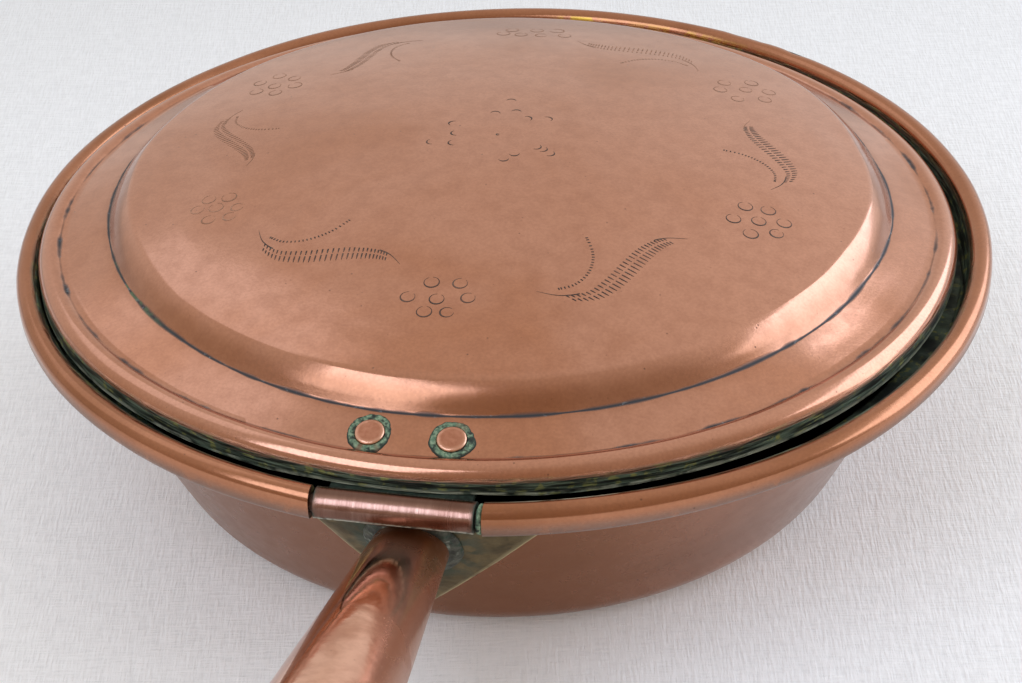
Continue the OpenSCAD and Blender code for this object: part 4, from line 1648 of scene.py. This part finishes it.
def make_socket():
    """The socket: a cone dented a little by use, with a rolled edge at its mouth. The rag misses
    its root, which is crusted, and leaves a brown film near it and down the right side."""
    steps = 56
    outside = [(0, (i / steps) ** 1.15) for i in range(steps + 1)]
    mouth = [(p.x, p.y) for p in arc((-MOUTH_BEAD / 2, 0), MOUTH_BEAD, -70, 190, 12)]
    inside = [(-SOCKET_T, 1 - i / 12) for i in range(13)]
    profile = outside + mouth + inside
    rows = len(profile)
    root = []
    browned = []

    def shape(first, a, second, row):
        side = Vector((math.cos(a), math.sin(a), 0))
        if steps < row < steps + 1 + len(mouth):
            root.append(0)
            browned.append(0)
            return socket_place @ (side * (SOCKET_MOUTH_R + first) + UP * (SOCKET_L + second))
        start, _ = along_socket(first, a, PLATE_T)
        s = start + (SOCKET_L - start) * second
        dent = 0.16 * chance(Vector((0, 0, s)) + side * 14, 24, 3) * bump(second, 0.5, 0.5)
        root.append(1 - rise(s - start, 0, 6) if first == 0 else 0)
        right_side = 0.5 * rise((socket_place.to_3x3() @ side).x, 0.3, 0.8)
        browned.append(max(1 - rise(s - start, 8, 24), right_side))
        return socket_place @ (side * (SOCKET_ROOT_R + TAPER * s + first + dent) + UP * s)

    tube = lathe(profile, 120, shape)
    shares = {"root": root, "browned": browned}
    materials = [socket_copper]
    name = "socket_copper_tube"
    new_piece(name, tube, materials, "pan", "handle_socket", shares)


# ---- All the pieces -------------------------------------------------------------------------

make_pan()
make_lid()
make_ornament()
make_rivets()
make_rivet_crusts()
make_strap()
make_gap_crust()
make_back_plate()
make_solder()
make_socket()

# Pieces that are shown as they were cut, with their own finish
kept = {
    "rim_wire": wire_iron,
    "wooden_handle": handle_wood,
    "socket_nails": brass_nails,
    "screw_eye": fitting_iron,
    "hanging_ring": fitting_iron,
}
for name, material in kept.items():
    mesh = frame["nodes"][name].data
    mesh.materials.clear()
    mesh.materials.append(material)

# ---- Floor, light and camera ----------------------------------------------------------------

# Metres from here on. The floor lies a hair below the pan's base, so the two never fight.
FLOOR_HALF = 12
FLOOR_Z = -0.0003

floor_mesh = bpy.data.meshes.new("floor")
floor_mesh.from_pydata(
    [(x * FLOOR_HALF, y * FLOOR_HALF, FLOOR_Z) for x, y in ((-1, -1), (1, -1), (1, 1), (-1, 1))],
    [],
    [(0, 1, 2, 3)],
)
floor_mesh.materials.append(floor_cloth)
floor = bpy.data.objects.new("floor", floor_mesh)
bpy.context.scene.collection.objects.link(floor)

# Flat directions away from the viewer and to the viewer's right
AWAY = Vector((-0.2096, 0.9778, 0))
RIGHT = Vector((0.9778, 0.2096, 0))


def soft_light(name, place, size, watts, slant):
    """A rectangular cool white lamp that faces the pan, turned by a slant in degrees, and isn't
    seen itself."""
    lamp = bpy.data.lights.new(name, "AREA")
    lamp.shape = "RECTANGLE"
    lamp.size, lamp.size_y = size
    lamp.energy = watts
    lamp.color = linear("#D4E6FF")[:3]
    holder = bpy.data.objects.new(name, lamp)
    facing = (Vector((0, 0, 0.05)) - place).to_track_quat("-Z", "Y").to_matrix().to_4x4()
    turned = Matrix.Rotation(math.radians(slant), 4, "Z")
    holder.matrix_world = Matrix.Translation(place) @ facing @ turned
    holder.visible_camera = False
    bpy.context.scene.collection.objects.link(holder)


# Each lamp's place and size in metres, its watts and its slant
soft_light("window", Vector((1.2, 0.65, 0.68)), (1.58, 1.05), 11.8, 16)
soft_light("left_lamp", Vector((-0.47, -0.82, 1.0)), (0.8, 0.8), 5.4, 0)
soft_light("far_lamp", Vector((-0.81, 0.44, 1.03)), (0.85, 0.7), 0.85, 0)


def room_light():
    """A plain pale room: brightest low on the far side and to the right, dimmer and warmer
    behind the camera."""
    world = bpy.data.worlds.new("room")
    world.use_nodes = True
    tree = world.node_tree
    tree.nodes.clear()
    where = add(tree, "TexCoord").outputs["Generated"]

    far, side = (
        add(tree, "VectorMath", (where, tuple(way.normalized())), operation="DOT_PRODUCT")
        for way in (AWAY + 0.36 * UP, RIGHT + 0.5 * AWAY + 0.25 * UP)
    )
    far = add(tree, "MapRange", {"Value": far, "From Min": -1, "From Max": 1})
    side = add(tree, "MapRange", {"Value": side, "From Min": 0.55, "From Max": 0.97})
    stops = [(0, "#AF9D8A"), (0.42, "#C2B6A9"), (0.62, "#D4CEC6"), (0.84, "#DED9D3")]
    colour = add(tree, "ValToRGB", (far,), stops + [(0.9, "#E0DBD5")])
    colour = layered(tree, colour, [(side, 1, "#FFFFFF")])
    background = add(tree, "Background", {"Color": colour, "Strength": 1})
    add(tree, "OutputWorld", (background,))
    bpy.context.scene.world = world


room_light()

# The camera stands in front of the pan to the right, and looks down past the socket: it is
# turned about Z, tipped about its own X and rolled about its own Z, in degrees
CAMERA_PLACE = Vector((130.5, -604.1, 445.0)) * mm
CAMERA_TURNS = [("Z", 12.1), ("X", 55.97), ("Z", -1.81)]

camera = bpy.data.objects.new("camera", bpy.data.cameras.new("camera"))
camera.data.lens = 84.54
camera.data.sensor_width = 36
facing = Matrix.Identity(4)
for axis, degrees in CAMERA_TURNS:
    facing = facing @ Matrix.Rotation(math.radians(degrees), 4, axis)
camera.matrix_world = Matrix.Translation(CAMERA_PLACE) @ facing
bpy.context.scene.collection.objects.link(camera)
bpy.context.scene.camera = camera
bpy.context.scene.view_settings.view_transform = "Standard"
